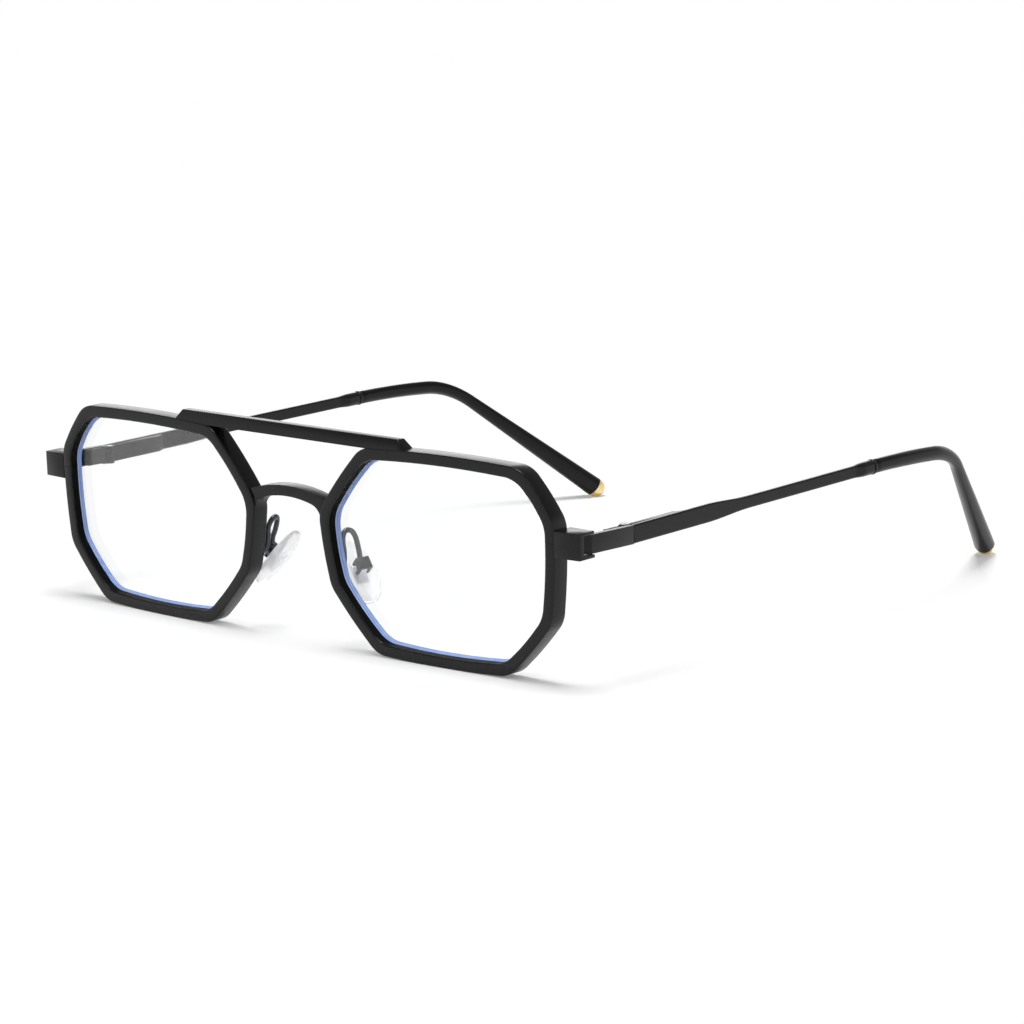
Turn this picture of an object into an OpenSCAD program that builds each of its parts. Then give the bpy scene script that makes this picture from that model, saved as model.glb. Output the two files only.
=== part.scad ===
// Octagonal double-bridge eyeglasses, standing open on a table.
// Millimetres, +Z up, the lenses face -Y, the temples run back along +Y.
// The wearer's left is +X. The origin is under the middle of the whole part.

/* [Front] */
// Width of the front across the two end pieces
overall_width = 140; // [130:1:150]
// Outer width of one rim
rim_width = 56.4; // [50:0.2:57]
// Outer height of one rim between its top and bottom corners
rim_height = 38.4; // [34:0.2:42]
// Width of a rim's face, seen from the front
rim_face = 2.1; // [1.8:0.1:2.6]
// Depth of a rim from front to back
rim_depth = 3.7; // [3.6:0.1:4.6]
// Radius of the rims' rounded outer corners
corner_radius = 5.6; // [4:0.2:7]
// Radius of the rounded corners of the lens opening
opening_radius = 6.5; // [4:0.5:8]
// Outward bow of each rim side, as a share of its length
side_bow = 0.012; // [0.003:0.001:0.015]
// Radius of the gentle curve of the whole front, seen from above
front_curve = 850; // [600:10:1500]
// Forward lean of the front when it stands on a table, in degrees
front_lean = 1.5; // [0:0.5:3]

/* [Bars] */
// Length of the brow bar at its foot
brow_length = 60.2; // [56:0.2:64]
// Height of the brow bar
brow_height = 1.85; // [1.5:0.05:2.6]
// Thickness of the lower bridge at its middle
bridge_height = 2; // [1.5:0.1:2.6]
// Depth of the lower bridge from front to back
bridge_depth = 2.9; // [2.2:0.1:3.4]

/* [Lens] */
// Thickness of a lens
lens_thickness = 1.8; // [1.5:0.1:2.2]
// Depth of the groove that holds the lens
groove_depth = 0.6; // [0.4:0.05:0.9]
// Radius of the lens surfaces
lens_curve = 500; // [400:10:900]

/* [Temples] */
// Distance from the front of the end piece to the seam at the hinge
seam_y = 14.4; // [12:0.2:18]
// Thickness of the temple blade and of the lug
strip_thickness = 1.1; // [1:0.1:1.3]
// Height of the temple blade at the hinge
strip_height = 3.4; // [3:0.1:3.6]
// Height of the temple blade after its taper
slim_height = 2.3; // [1.9:0.1:2.8]
// Length of the temple blade from the seam to the ring
blade_length = 69.4; // [62:0.2:76]
// Length of tip before the ear bend
ear_run = 19.6; // [15:0.2:24]
// Gentle droop of that length in degrees
ear_sag = 5.7; // [2:0.1:10]
// Radius of the ear bend
ear_radius = 18.6; // [15:0.2:24]
// Angle of the leg behind the ear bend in degrees
ear_angle = 44.4; // [38:0.2:52]

/* [Pads] */
// Length of a nose pad
pad_length = 13.6; // [11:0.2:15]
// Width of a nose pad
pad_width = 7.2; // [6:0.2:8]
// Thickness of a nose pad
pad_thickness = 2.3; // [2:0.1:3]
// Diameter of the pad arm wire
arm_wire = 1; // [0.8:0.1:1.1]

/* [Hidden] */
$fn = 48;
half_width = overall_width / 2;
lens_gap = 0.05;
seam_gap = 0.16;
screw_play = 0.05;
foot_flat = 0.1;

// Rim outline: eight corners as shares of the rim's width and height, from the nose side out
rim_corners = [
    [0.241, 0],
    [0.796, 0],
    [0.977, 0.276],
    [1, 0.758],
    [0.871, 1],
    [0.202, 1],
    [0, 0.659],
    [0.046, 0.297]
];
end_reach = 5.4;
rim_out_x = half_width - end_reach;
rim_in_x = rim_out_x - rim_width;
rim_base = side_bow * rim_width * (rim_corners[1][0] - rim_corners[0][0]) - foot_flat;
rim_top = rim_base + rim_height;
rim_mid_x = (rim_in_x + rim_out_x) / 2;
rim_mid_z = rim_base + rim_height / 2;

// Curve of the front: its foremost line lies at front_y on the centre plane
front_y = -half_width * half_width / 2 / front_curve;
function front_at(x) = front_y + x * x / 2 / front_curve;

// Rim and lens layers, measured back from the front face
groove_front = 2.2;
groove_back = 3.2;
lens_front = 1.5;
lens_turn = asin(rim_mid_x / front_curve);

// Brow bar and lower bridge
brow_foot = rim_top + 0.2;
brow_y = front_at(27);
brow_slope = 0.95;
brow_end_slope = 1.8;
bridge_top = rim_base + rim_height * 0.757;
bridge_r = 31;
bridge_under_r = 25;
bridge_foot = rim_base + rim_height * 0.6;
bridge_fillet = 3;
bridge_sink = 0.06;

// End piece and lug
end_mid_z = rim_base + rim_height * 0.661;
end_height = 4.8;
end_back = 4;
end_plate = 1.2;
end_overlap = 1.5;
flange = 0.58;
lug_x = half_width - 0.5;
lug_start = rim_out_x + 2.75;
lug_bend = lug_x - lug_start - 0.05;
lug_front = end_plate + 0.12 - (end_mid_z + strip_height / 2) * sin(front_lean);

// Closing block behind the rim
rim_slit = 0.16;
lock_x = rim_out_x + 1.35;
lock_y = 2.6;
lock_bore = 0.5;
lock_head = 0.8;

// Hinge
pivot_r = 0.95;
pivot_x = lug_x - strip_thickness - pivot_r - 0.12;
pin_r = 0.45;
pin_head_r = 0.7;
pin_head = 0.35;
hinge_height = strip_height + 0.1;
knuckle_gap = 0.05;
knuckle = (hinge_height - 2 * knuckle_gap) / 3;
leaf_length = 4.4;
leaf_low = 0.15;
back_leaf = 11.8;
back_leaf_end = 2.2;
leaf_start = pivot_r + 0.28;
leaf_inset = 0.2;

// Temple pose: the blade toes in and rises towards the ear
temple_toe = 0.7;
temple_rise = 1.65;
taper_from = blade_length * 0.3;
taper_to = blade_length * 0.47;
collar_from = blade_length - 5.6;
collar_to = blade_length - 2.4;

// Ear tip path; the leg is as long as it takes to reach the table
drop_turn = 28.5;
ring_length = 0.7;
cap_length = 2.3;
cap_round = 1.1;
tip_start = blade_length + ring_length;
bend_at = tip_start + ear_run;
sag_radius = ear_run * 180 / PI / ear_sag;
ear_arc = ear_radius * (ear_angle - ear_sag) * PI / 180;
bend_end = bend_at + ear_arc;
tip_rest = 0.85;
leg_run = tip_start + sag_radius * sin(ear_sag) + ear_radius * (sin(ear_angle) - sin(ear_sag));
leg_fall = sag_radius * (1 - cos(ear_sag)) + ear_radius * (cos(ear_sag) - cos(ear_angle));
ear_leg = (end_mid_z + leg_run * sin(temple_rise)
    - cos(drop_turn) * cos(temple_rise) * leg_fall - tip_rest)
    / (cos(drop_turn) * cos(temple_rise) * sin(ear_angle) - cos(ear_angle) * sin(temple_rise));
path_end = bend_end + ear_leg;
core_r = 0.4;
core_grip = 4;
core_end = path_end - 6;

// Half sizes of the tip: at its ring, at the end of its bend and at its far end
tip_half_down = [1.36, 1.12, 2.0];
tip_half_side = [1.3, 1.35, 2.1];
path_side = [-cos(drop_turn), 0, sin(drop_turn)];

// Nose pad frame, on the wearer's left
pad_mid = [10.9, 4.85, 13.3];
pad_along = unit([0.63, -0.154, -0.761]);
pad_out = unit(cross(pad_along, [0.3, 0.95, 0.05]));
pad_across = cross(pad_out, pad_along);
plate_long = 4.4;
plate_wide = 2.6;
plate_thick = 0.5;
eye_r = 0.8;
eye_wide = 1.3;
eye_along = 0.35;
eye_out = pad_thickness / 2 + 1.05;
pad_pin_r = 0.35;
box_wide = 2.6;
box_wall = 0.5;
box_top = -eye_r - 0.15 - box_wall;
box_low = eye_r + 0.15;
box_near = pad_thickness / 2 + 0.25;
box_far = eye_out + eye_r + 0.15 + box_wall;

// Whole part: the origin sits under its middle
tip_far = max([for (k = [0 : 5]) for (p = ring(cap_station(k), 28)) temple_world_y(p)]);
front_near = min([
    for (p = outline(0)) front_at(p[0]) * cos(front_lean) - p[1] * sin(front_lean)
]);
frame_mid = (tip_far + front_near) / 2;

function unit(v) = v / norm(v);
function mix(a, b, t) = a + (b - a) * t;
function ease(t) = let (c = max(0, min(1, t))) c * c * (3 - 2 * c);
function turn2(v, a) = [v[0] * cos(a) - v[1] * sin(a), v[0] * sin(a) + v[1] * cos(a)];
function left_of(u) = [-u[1], u[0]];

// Crossing of two lines, each given by a point and a direction
function crossing(p, u, q, w) =
    let (d = u[0] * w[1] - u[1] * w[0])
    p + u * ((q[0] - p[0]) * w[1] - (q[1] - p[1]) * w[0]) / d;

function corner(i) =
    let (c = rim_corners[(i + 8) % 8])
    [rim_in_x + c[0] * rim_width, rim_base + c[1] * rim_height];
function side_dir(i) = unit(corner(i + 1) - corner(i));
function inset_corner(i, d) = crossing(
    corner(i - 1) + left_of(side_dir(i - 1)) * d, side_dir(i - 1),
    corner(i) + left_of(side_dir(i)) * d, side_dir(i));
function round_r(d) = d > 0 ? opening_radius + rim_face - d : corner_radius;
function round_turn(i) = acos(side_dir(i - 1) * side_dir(i));
function round_run(i, d) = round_r(d) * tan(round_turn(i) / 2);

// Rim outline, moved inwards by d: a rounded corner, then a bowed side, eight times
function outline(d) = [
    for (i = [0 : 7])
        let (
            w = inset_corner(i, d),
            u = side_dir(i - 1),
            s = w - u * round_run(i, d),
            c = s + left_of(u) * round_r(d),
            v = side_dir(i),
            a = w + v * round_run(i, d),
            b = inset_corner(i + 1, d) - v * round_run(i + 1, d),
            bow = side_bow * norm(corner(i + 1) - corner(i))
        )
        each [
            for (k = [0 : 4]) c + turn2(s - c, round_turn(i) * k / 5),
            for (k = [0 : 4]) mix(a, b, k / 5) - left_of(v) * bow * 4 * k / 5 * (1 - k / 5)
        ]
];

// Points of a tube: rings across a path, each [centre, first axis, second axis]
function ring(st, n) = [
    for (k = [0 : n - 1]) st[0] + st[1] * cos(360 * k / n) + st[2] * sin(360 * k / n)
];

module tube(stations, n) {
    m = len(stations);
    polyhedron(
        points = [for (st = stations) each ring(st, n)],
        faces = [
            [for (k = [0 : n - 1]) k],
            for (j = [0 : m - 2]) for (k = [0 : n - 1])
                [j * n + k, (j + 1) * n + k, (j + 1) * n + (k + 1) % n],
            for (j = [0 : m - 2]) for (k = [0 : n - 1])
                [j * n + k, (j + 1) * n + (k + 1) % n, j * n + (k + 1) % n],
            [for (k = [n - 1 : -1 : 0]) (m - 1) * n + k]
        ],
        convexity = 8);
}

// Place a piece in the shared frame, on the wearer's left (1) or right (-1)
module on_side(s) translate([0, -frame_mid, 0]) mirror([s < 0 ? 1 : 0, 0, 0]) children();
module leaning() rotate([front_lean, 0, 0]) children();

// A prism of an X-Z outline, running from front to back
module prism(points) {
    translate([0, 30, 0])
        rotate([90, 0, 0])
            linear_extrude(60)
                polygon(points);
}

// A layer that follows the curve of the front
module layer(front, back) {
    translate([0, front_y + front_curve, -10])
        difference() {
            cylinder(r = front_curve - front, h = 70, $fn = 720);
            translate([0, 0, -1])
                cylinder(r = front_curve - back, h = 72, $fn = 720);
        }
}

// Everything above the table
module above_table() {
    difference() {
        children();
        translate([-200, -200, -20])
            cube([400, 400, 20]);
    }
}

module rim_shape() {
    leaning()
        intersection() {
            difference() {
                prism(outline(0));
                prism(outline(rim_face));
            }
            layer(0, rim_depth);
        }
}

// The closed rim bends open at a slit behind the end piece
module rim(s) {
    on_side(s)
        above_table()
            difference() {
                rim_shape();
                leaning()
                    intersection() {
                        prism(outline(rim_face - groove_depth));
                        layer(groove_front, groove_back);
                    }
                leaning()
                    translate([rim_out_x - rim_face - 1, -6, end_mid_z - rim_slit / 2])
                        cube([4, 20, rim_slit]);
            }
}

// The lens surfaces turn with the curve of the front, so the lens sits evenly in its rim
module lens_place() {
    translate([0, front_y + front_curve, rim_mid_z])
        rotate([0, 0, lens_turn])
            translate([0, lens_front + lens_curve - front_curve, 0])
                children();
}

module lens(s) {
    on_side(s)
        leaning() {
            intersection() {
                prism(outline(rim_face + lens_gap));
                lens_place()
                    difference() {
                        sphere(r = lens_curve, $fn = 360);
                        sphere(r = lens_curve - lens_thickness, $fn = 360);
                    }
                layer(-5, 12);
            }
            intersection() {
                difference() {
                    prism(outline(rim_face - groove_depth + lens_gap));
                    prism(outline(rim_face + lens_gap));
                }
                layer(groove_front + lens_gap, groove_back - lens_gap);
            }
        }
}

// Brow bar: sloped front, back and ends, its feet lie on the rims
module bar_shape() {
    translate([0, -frame_mid, 0])
        leaning()
            difference() {
                intersection() {
                    translate([-40, 0, 0])
                        rotate([90, 0, 90])
                            linear_extrude(80)
                                polygon([
                                    [brow_y, brow_foot - 1],
                                    [brow_y + rim_depth, brow_foot - 1],
                                    [brow_y + rim_depth, brow_foot],
                                    [brow_y + rim_depth - brow_slope, brow_foot + brow_height],
                                    [brow_y + brow_slope, brow_foot + brow_height],
                                    [brow_y, brow_foot]
                                ]);
                    prism([
                        [-brow_length / 2, brow_foot],
                        [brow_length / 2, brow_foot],
                        [brow_length / 2 - brow_end_slope, brow_foot + brow_height],
                        [brow_end_slope - brow_length / 2, brow_foot + brow_height]
                    ]);
                }
                for (s = [0, 1])
                    mirror([s, 0, 0])
                        prism(outline(0));
            }
}

// Lower bridge: an arched strip whose feet merge into the rims
fillet_x = min([for (p = outline(0)) p[0]]) + bridge_sink - bridge_fillet;
bridge_under_z = bridge_top - bridge_height - bridge_under_r;
fillet_z = bridge_under_z + sqrt(pow(bridge_under_r - bridge_fillet, 2) - fillet_x * fillet_x);
fillet_to = atan2(fillet_x, fillet_z - bridge_under_z);
function fillet_point(s, k) = let (a = mix(0, 90 - fillet_to, k / 5)) [
    s * (fillet_x + bridge_fillet * cos(a)),
    fillet_z + bridge_fillet * sin(a)
];

module bridge_shape() {
    foot_x = rim_in_x + rim_face * 1.4;
    translate([0, -frame_mid, 0])
        leaning()
            difference() {
                intersection() {
                    prism([
                        for (k = [-6 : 6])
                            [bridge_r * sin(k * 4), bridge_top - bridge_r + bridge_r * cos(k * 4)],
                        [foot_x, bridge_foot],
                        [fillet_x + bridge_fillet, bridge_foot],
                        for (k = [0 : 5]) fillet_point(1, k),
                        for (k = [5 : -1 : -5])
                            [bridge_under_r * sin(fillet_to * k / 6),
                             bridge_under_z + bridge_under_r * cos(fillet_to * k / 6)],
                        for (k = [5 : -1 : 0]) fillet_point(-1, k),
                        [-fillet_x - bridge_fillet, bridge_foot],
                        [-foot_x, bridge_foot]
                    ]);
                    layer(0.4, 0.4 + bridge_depth);
                }
                for (s = [0, 1])
                    mirror([s, 0, 0])
                        prism(outline(0));
            }
}

// End piece cover: a channel with a front plate and two flanges, open to the side
module end_cover(s) {
    on_side(s)
        leaning()
            difference() {
                translate([0, 0, end_mid_z - end_height / 2])
                    linear_extrude(end_height)
                        polygon([
                            for (k = [0 : 2])
                                let (x = half_width - (1 - k / 2) * (end_reach + end_overlap))
                                [x, front_at(x)],
                            [half_width, end_back],
                            [half_width - end_reach - end_overlap, end_back]
                        ]);
                translate([rim_out_x - 3, end_plate, end_mid_z - end_height / 2 + flange])
                    cube([20, 20, end_height - 2 * flange]);
                prism(outline(0));
                translate([lock_x, lock_y, end_mid_z - end_height / 2 - 1])
                    cylinder(r = lock_head, h = 2);
            }
}

// Lug: a strip that turns back behind the cover and carries the hinge
module end_lug(s) {
    inner_bend = lug_bend - strip_thickness;
    on_side(s)
        translate([0, 0, end_mid_z - strip_height / 2])
            linear_extrude(strip_height)
                polygon([
                    [lug_start, lug_front],
                    for (k = [0 : 6])
                        [lug_x - lug_bend + lug_bend * sin(15 * k),
                         lug_front + lug_bend - lug_bend * cos(15 * k)],
                    [lug_x, seam_y - seam_gap / 2],
                    [lug_x - strip_thickness, seam_y - seam_gap / 2],
                    for (k = [4 : -1 : 0])
                        [lug_x - lug_bend + inner_bend * sin(22.5 * k),
                         lug_front + lug_bend - inner_bend * cos(22.5 * k)],
                    [lug_start, lug_front + strip_thickness]
                ]);
}

// Closing block: two halves behind the rim, drawn together by a screw
module lock_half(s, upper) {
    on_side(s)
        leaning()
            difference() {
                translate([rim_out_x - 1, end_plate + 0.02, end_mid_z + (upper ? 0.08 : -1.7)])
                    cube([3.6, 2.6, 1.62]);
                prism(outline(0));
                translate([lock_x, lock_y, end_mid_z - 3])
                    cylinder(r = lock_bore, h = 6);
                translate([lock_x, lock_y, end_mid_z - 2.2])
                    cylinder(r = lock_head, h = 1.1);
            }
}

module lock_screw(s) {
    on_side(s)
        leaning()
            translate([lock_x, lock_y, end_mid_z])
                difference() {
                    union() {
                        translate([0, 0, -1.5])
                            cylinder(r = lock_bore - 0.02, h = 3.1);
                        translate([0, 0, -1.6])
                            cylinder(r = lock_head - 0.04, h = 0.48);
                    }
                    translate([-1, -0.1, -2])
                        cube([2, 0.2, 0.65]);
                }
}

// Hinge leaves: a plate on the strip, a web and a share of the three knuckles
module knuckle_at(from) {
    translate([pivot_x, seam_y, end_mid_z - hinge_height / 2 + from])
        cylinder(r = pivot_r, h = knuckle);
}

module leaf_web(dir, from) {
    translate([pivot_x - leaf_inset, dir < 0 ? seam_y - leaf_start - 0.4 : seam_y,
               end_mid_z - hinge_height / 2 + from])
        cube([pivot_r + leaf_inset - 0.06, leaf_start + 0.4, knuckle]);
}

module pin_bore(r) {
    translate([pivot_x, seam_y, end_mid_z - hinge_height])
        cylinder(r = r, h = 2 * hinge_height);
}

module hinge_front(s) {
    plate = lug_x - strip_thickness - pivot_x + leaf_inset;
    on_side(s)
        difference() {
            union() {
                translate([pivot_x - leaf_inset, seam_y - leaf_start - leaf_length,
                           end_mid_z - strip_height / 2 + leaf_low])
                    cube([plate, leaf_length, strip_height - 2 * leaf_low]);
                for (z = [0, 2 * (knuckle + knuckle_gap)]) {
                    knuckle_at(z);
                    leaf_web(-1, z);
                }
            }
            pin_bore(pin_r);
            translate([pivot_x, seam_y, end_mid_z + hinge_height / 2 - pin_head])
                cylinder(r = pin_head_r + 0.02, h = 1);
            translate([pivot_x - 1, seam_y - pivot_r - 0.12, end_mid_z - knuckle / 2 - knuckle_gap])
                cube([3, 4, knuckle + 2 * knuckle_gap]);
        }
}

module hinge_back(s) {
    plate = lug_x - strip_thickness - pivot_x + leaf_inset;
    difference() {
        union() {
            in_temple(s)
                translate([-strip_thickness, leaf_start, leaf_low - strip_height / 2])
                    linear_extrude(strip_height - 2 * leaf_low)
                        polygon([
                            [-plate, 0],
                            [0, 0],
                            [0, back_leaf + back_leaf_end],
                            [-plate, back_leaf]
                        ]);
            on_side(s) {
                knuckle_at(knuckle + knuckle_gap);
                leaf_web(1, knuckle + knuckle_gap);
            }
        }
        on_side(s)
            pin_bore(pin_r + screw_play);
    }
}

module hinge_screw(s) {
    on_side(s)
        translate([pivot_x, seam_y, end_mid_z])
            difference() {
                union() {
                    translate([0, 0, -hinge_height / 2])
                        cylinder(r = pin_r, h = hinge_height - 0.02);
                    translate([0, 0, hinge_height / 2 - pin_head])
                        cylinder(r = pin_head_r, h = pin_head - 0.02);
                }
                translate([-1, -0.11, hinge_height / 2 - 0.17])
                    cube([2, 0.22, 1]);
            }
}

// Temple parts share one pose; s runs back along +Y from the seam
module in_temple(s) {
    on_side(s)
        translate([lug_x, seam_y, end_mid_z])
            rotate([0, 0, temple_toe])
                rotate([temple_rise, 0, 0])
                    children();
}

function blade_half(s) =
    mix(strip_height, slim_height, ease((s - taper_from) / (taper_to - taper_from))) / 2;
blade_stops = [
    seam_gap / 2 + 0.06,
    for (k = [0 : 8]) mix(taper_from, taper_to, k / 8),
    blade_length - 0.02
];

module temple_blade(s) {
    in_temple(s)
        difference() {
            union() {
                translate([-strip_thickness, 0, 0])
                    rotate([90, 0, 90])
                        linear_extrude(strip_thickness)
                            polygon([
                                for (q = blade_stops) [q, -blade_half(q)],
                                for (k = [len(blade_stops) - 1 : -1 : 0])
                                    [blade_stops[k], blade_half(blade_stops[k])]
                            ]);
                tube([for (k = [0 : 5]) collar_station(mix(collar_from, blade_length, k / 5))], 28);
            }
            tube([for (q = [-core_grip, core_grip]) core_station(blade_length + q)], 16);
        }
}
// The collar swells from the strip to the round of the tip
function collar_station(q) =
    let (t = ease((q - collar_from) / (collar_to - collar_from)))
    [
        [-strip_thickness / 2, q, 0],
        [0, 0, -mix(slim_height / 2 - 0.04, tip_half_down[0], t)],
        [-mix(strip_thickness / 2 - 0.04, tip_half_side[0] - 0.1, t), 0, 0]
    ];

// Ear path: a gentle droop, then an arc that drops and turns inwards, then straight
function path_turn(q) = q < bend_at
    ? ear_sag * max(0, q - tip_start) / ear_run
    : min(ear_angle, ear_sag + (q - bend_at) / ear_radius * 180 / PI);
function path_fall(q) = let (a = path_turn(q), b = min(a, ear_sag))
    sag_radius * (1 - cos(b)) + ear_radius * (cos(b) - cos(a))
    + max(0, q - bend_end) * sin(ear_angle);
function path_run(q) = let (a = path_turn(q), b = min(a, ear_sag))
    min(q, tip_start) + sag_radius * sin(b) + ear_radius * (sin(a) - sin(b))
    + max(0, q - bend_end) * cos(ear_angle);
function path_point(q) = [
    -strip_thickness / 2 - sin(drop_turn) * path_fall(q),
    path_run(q),
    -cos(drop_turn) * path_fall(q)
];
function path_twist(q) = -drop_turn * (1 - ease((q - blade_length) / ear_run));
function path_down(q) = let (a = path_turn(q))
    [-sin(drop_turn) * cos(a), -sin(a), -cos(drop_turn) * cos(a)];
function path_e1(q) = path_down(q) * cos(path_twist(q)) + path_side * sin(path_twist(q));
function path_e2(q) = path_side * cos(path_twist(q)) - path_down(q) * sin(path_twist(q));
function core_station(q) = [path_point(q), path_e1(q) * core_r, path_e2(q) * core_r];
function tip_half(sizes, q) =
    mix(sizes[0], sizes[1], ease((q - bend_at) / ear_arc))
    + (sizes[2] - sizes[1]) * max(0, (q - bend_end) / ear_leg);
function tip_station(q, shrink) = [
    path_point(q),
    path_e1(q) * (tip_half(tip_half_down, q) - shrink),
    path_e2(q) * (tip_half(tip_half_side, q) - shrink)
];
function cap_station(k) = tip_station(
    path_end - cap_length + cap_length * sin(18 * k),
    cap_round * (1 - cos(18 * k)));
function temple_world_y(p) =
    let (y = p[1] * cos(temple_rise) - p[2] * sin(temple_rise))
    seam_y + p[0] * sin(temple_toe) + y * cos(temple_toe);

// Stops along the path, shared by the core and its bore
along_stops = [
    blade_length - core_grip,
    blade_length,
    for (k = [0 : 2]) mix(tip_start, bend_at, k / 2),
    for (k = [1 : 8]) bend_at + ear_arc * k / 8
];
tip_stops = [
    tip_start,
    tip_start + 0.25,
    for (k = [1 : 4]) mix(tip_start, bend_at, k / 4),
    for (k = [1 : 8]) bend_at + ear_arc * k / 8,
    for (k = [1 : 5]) mix(bend_end, path_end - cap_length, k / 5)
];

module temple_core(s) {
    in_temple(s)
        tube([for (q = concat(along_stops, core_end)) core_station(q)], 16);
}

module tip_ring(s) {
    in_temple(s)
        difference() {
            tube([
                for (q = [blade_length, blade_length + 0.15, tip_start - 0.15, tip_start])
                    tip_station(q, (q == blade_length || q == tip_start) ? 0.02 : -0.1)
            ], 28);
            tube([for (q = [-1, 2]) core_station(blade_length + q)], 16);
        }
}

module temple_tip(s) {
    in_temple(s)
        difference() {
            tube([for (q = tip_stops) tip_station(q, q == tip_start ? 0.15 : 0)], 28);
            tube([for (q = concat(along_stops, core_end + 0.2)) core_station(q)], 16);
        }
}

module tip_cap(s) {
    above_table()
        in_temple(s)
            tube([for (k = [0 : 5]) cap_station(k)], 28);
}

module in_pad(s) {
    on_side(s)
        multmatrix([
            [pad_along[0], pad_across[0], pad_out[0], pad_mid[0]],
            [pad_along[1], pad_across[1], pad_out[1], pad_mid[1]],
            [pad_along[2], pad_across[2], pad_out[2], pad_mid[2]]
        ])
            children();
}

function drop(t) = [
    pad_length / 2 * cos(t),
    pad_width / 2 * sin(t) * (1 + 0.16 * cos(t))
];

module core_plate() {
    translate([eye_along - plate_long / 2, -plate_wide / 2, -0.3])
        cube([plate_long, plate_wide, plate_thick]);
}

// Nose pad: a soft-edged drop, thinner at its rim, moulded round a metal plate
module nose_pad(s) {
    n = 28;
    levels = [-90, -60, -30, 0, 30, 60, 90];
    in_pad(s)
        difference() {
            polyhedron(
                points = [
                    for (v = levels) for (k = [0 : n - 1])
                        let (p = drop(-360 * k / n), f = 1 - 0.32 * (1 - cos(v)))
                        [p[0] * f, p[1] * f, pad_thickness / 2 * sin(v)]
                ],
                faces = [
                    [for (k = [0 : n - 1]) k],
                    for (j = [0 : 5]) for (k = [0 : n - 1])
                        [j * n + k, (j + 1) * n + k, (j + 1) * n + (k + 1) % n],
                    for (j = [0 : 5]) for (k = [0 : n - 1])
                        [j * n + k, (j + 1) * n + (k + 1) % n, j * n + (k + 1) % n],
                    [for (k = [n - 1 : -1 : 0]) 6 * n + k]
                ],
                convexity = 4);
            core_plate();
            translate([eye_along - eye_r, -eye_wide / 2, 0])
                cube([2 * eye_r, eye_wide, 4]);
        }
}

// Pad core: the plate inside the pad and a lug with an eye for the pad screw
module pad_core(s) {
    in_pad(s)
        difference() {
            union() {
                core_plate();
                translate([eye_along - eye_r, -eye_wide / 2, 0.1])
                    cube([2 * eye_r, eye_wide, eye_out - 0.1]);
                translate([eye_along, eye_wide / 2, eye_out])
                    rotate([90, 0, 0])
                        cylinder(r = eye_r, h = eye_wide);
            }
            pad_bore(pad_pin_r + screw_play);
        }
}

module pad_bore(r) {
    translate([eye_along, 5, eye_out])
        rotate([90, 0, 0])
            cylinder(r = r, h = 10);
}

// Pad box: two cheeks, a back and an end wall, open towards the pad
module box_block() {
    translate([eye_along + box_top, -box_wide / 2, box_near])
        cube([box_low - box_top, box_wide, box_far - box_near]);
}

module pad_box(s) {
    in_pad(s)
        difference() {
            box_block();
            translate([eye_along + box_top + box_wall, box_wall - box_wide / 2, box_near - 1])
                cube([5, box_wide - 2 * box_wall, box_far - box_wall - box_near + 1]);
            pad_bore(pad_pin_r);
        }
}

module pad_screw(s) {
    in_pad(s)
        translate([eye_along, 0, eye_out])
            rotate([90, 0, 0])
                difference() {
                    union() {
                        translate([0, 0, -box_wide / 2 - 0.1])
                            cylinder(r = pad_pin_r, h = box_wide + 0.2);
                        translate([0, 0, box_wide / 2])
                            cylinder(r = 0.62, h = 0.35);
                    }
                    translate([-1, -0.08, box_wide / 2 + 0.17])
                        cube([2, 0.16, 1]);
                }
}

// Pad arm: a wire from the back of the rim up, over and down to the end of the box
function pad_at(a, b, c) = pad_mid + pad_along * a + pad_across * b + pad_out * c;
arm_knots = [
    [11.05, 0.2, 14.9],
    [10.85, 1.15, 15.2],
    [10.6, 1.7, 16.3],
    [10.45, 1.8, 17.8],
    [10.25, 1.75, 19.5],
    [9.98, 2.35, 20.85],
    [9.98, 3.3, 21.3],
    [10.35, 4.15, 20.9],
    [10.85, 4.5, 19.8],
    [11.35, 4.5, 18.4],
    [11.85, 4.35, 17.1],
    pad_at(eye_along + box_top + 0.1, 0, eye_out + 0.4)
];
function knot(i) = arm_knots[max(0, min(len(arm_knots) - 1, i))];
function spline(i, t) =
    0.5 * (2 * knot(i) + (knot(i + 1) - knot(i - 1)) * t
    + (2 * knot(i - 1) - 5 * knot(i) + 4 * knot(i + 1) - knot(i + 2)) * t * t
    + (3 * knot(i) - knot(i - 1) - 3 * knot(i + 1) + knot(i + 2)) * t * t * t);
function arm_point(k) = let (i = floor(k / 3)) spline(i, k / 3 - i);
arm_plane = unit([0.93, -0.05, 0.36]);

module pad_arm(s) {
    last = 3 * (len(arm_knots) - 1);
    difference() {
        on_side(s)
            tube([
                for (k = [0 : last])
                    let (
                        d = unit(arm_point(min(last, k + 1)) - arm_point(max(0, k - 1))),
                        e1 = unit(cross(arm_plane, d)),
                        e2 = cross(d, e1)
                    )
                    [arm_point(k), e1 * arm_wire / 2, e2 * arm_wire / 2]
            ], 12);
        on_side(s)
            leaning()
                intersection() {
                    prism(outline(0));
                    layer(-5, rim_depth);
                }
        in_pad(s)
            box_block();
    }
}

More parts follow.
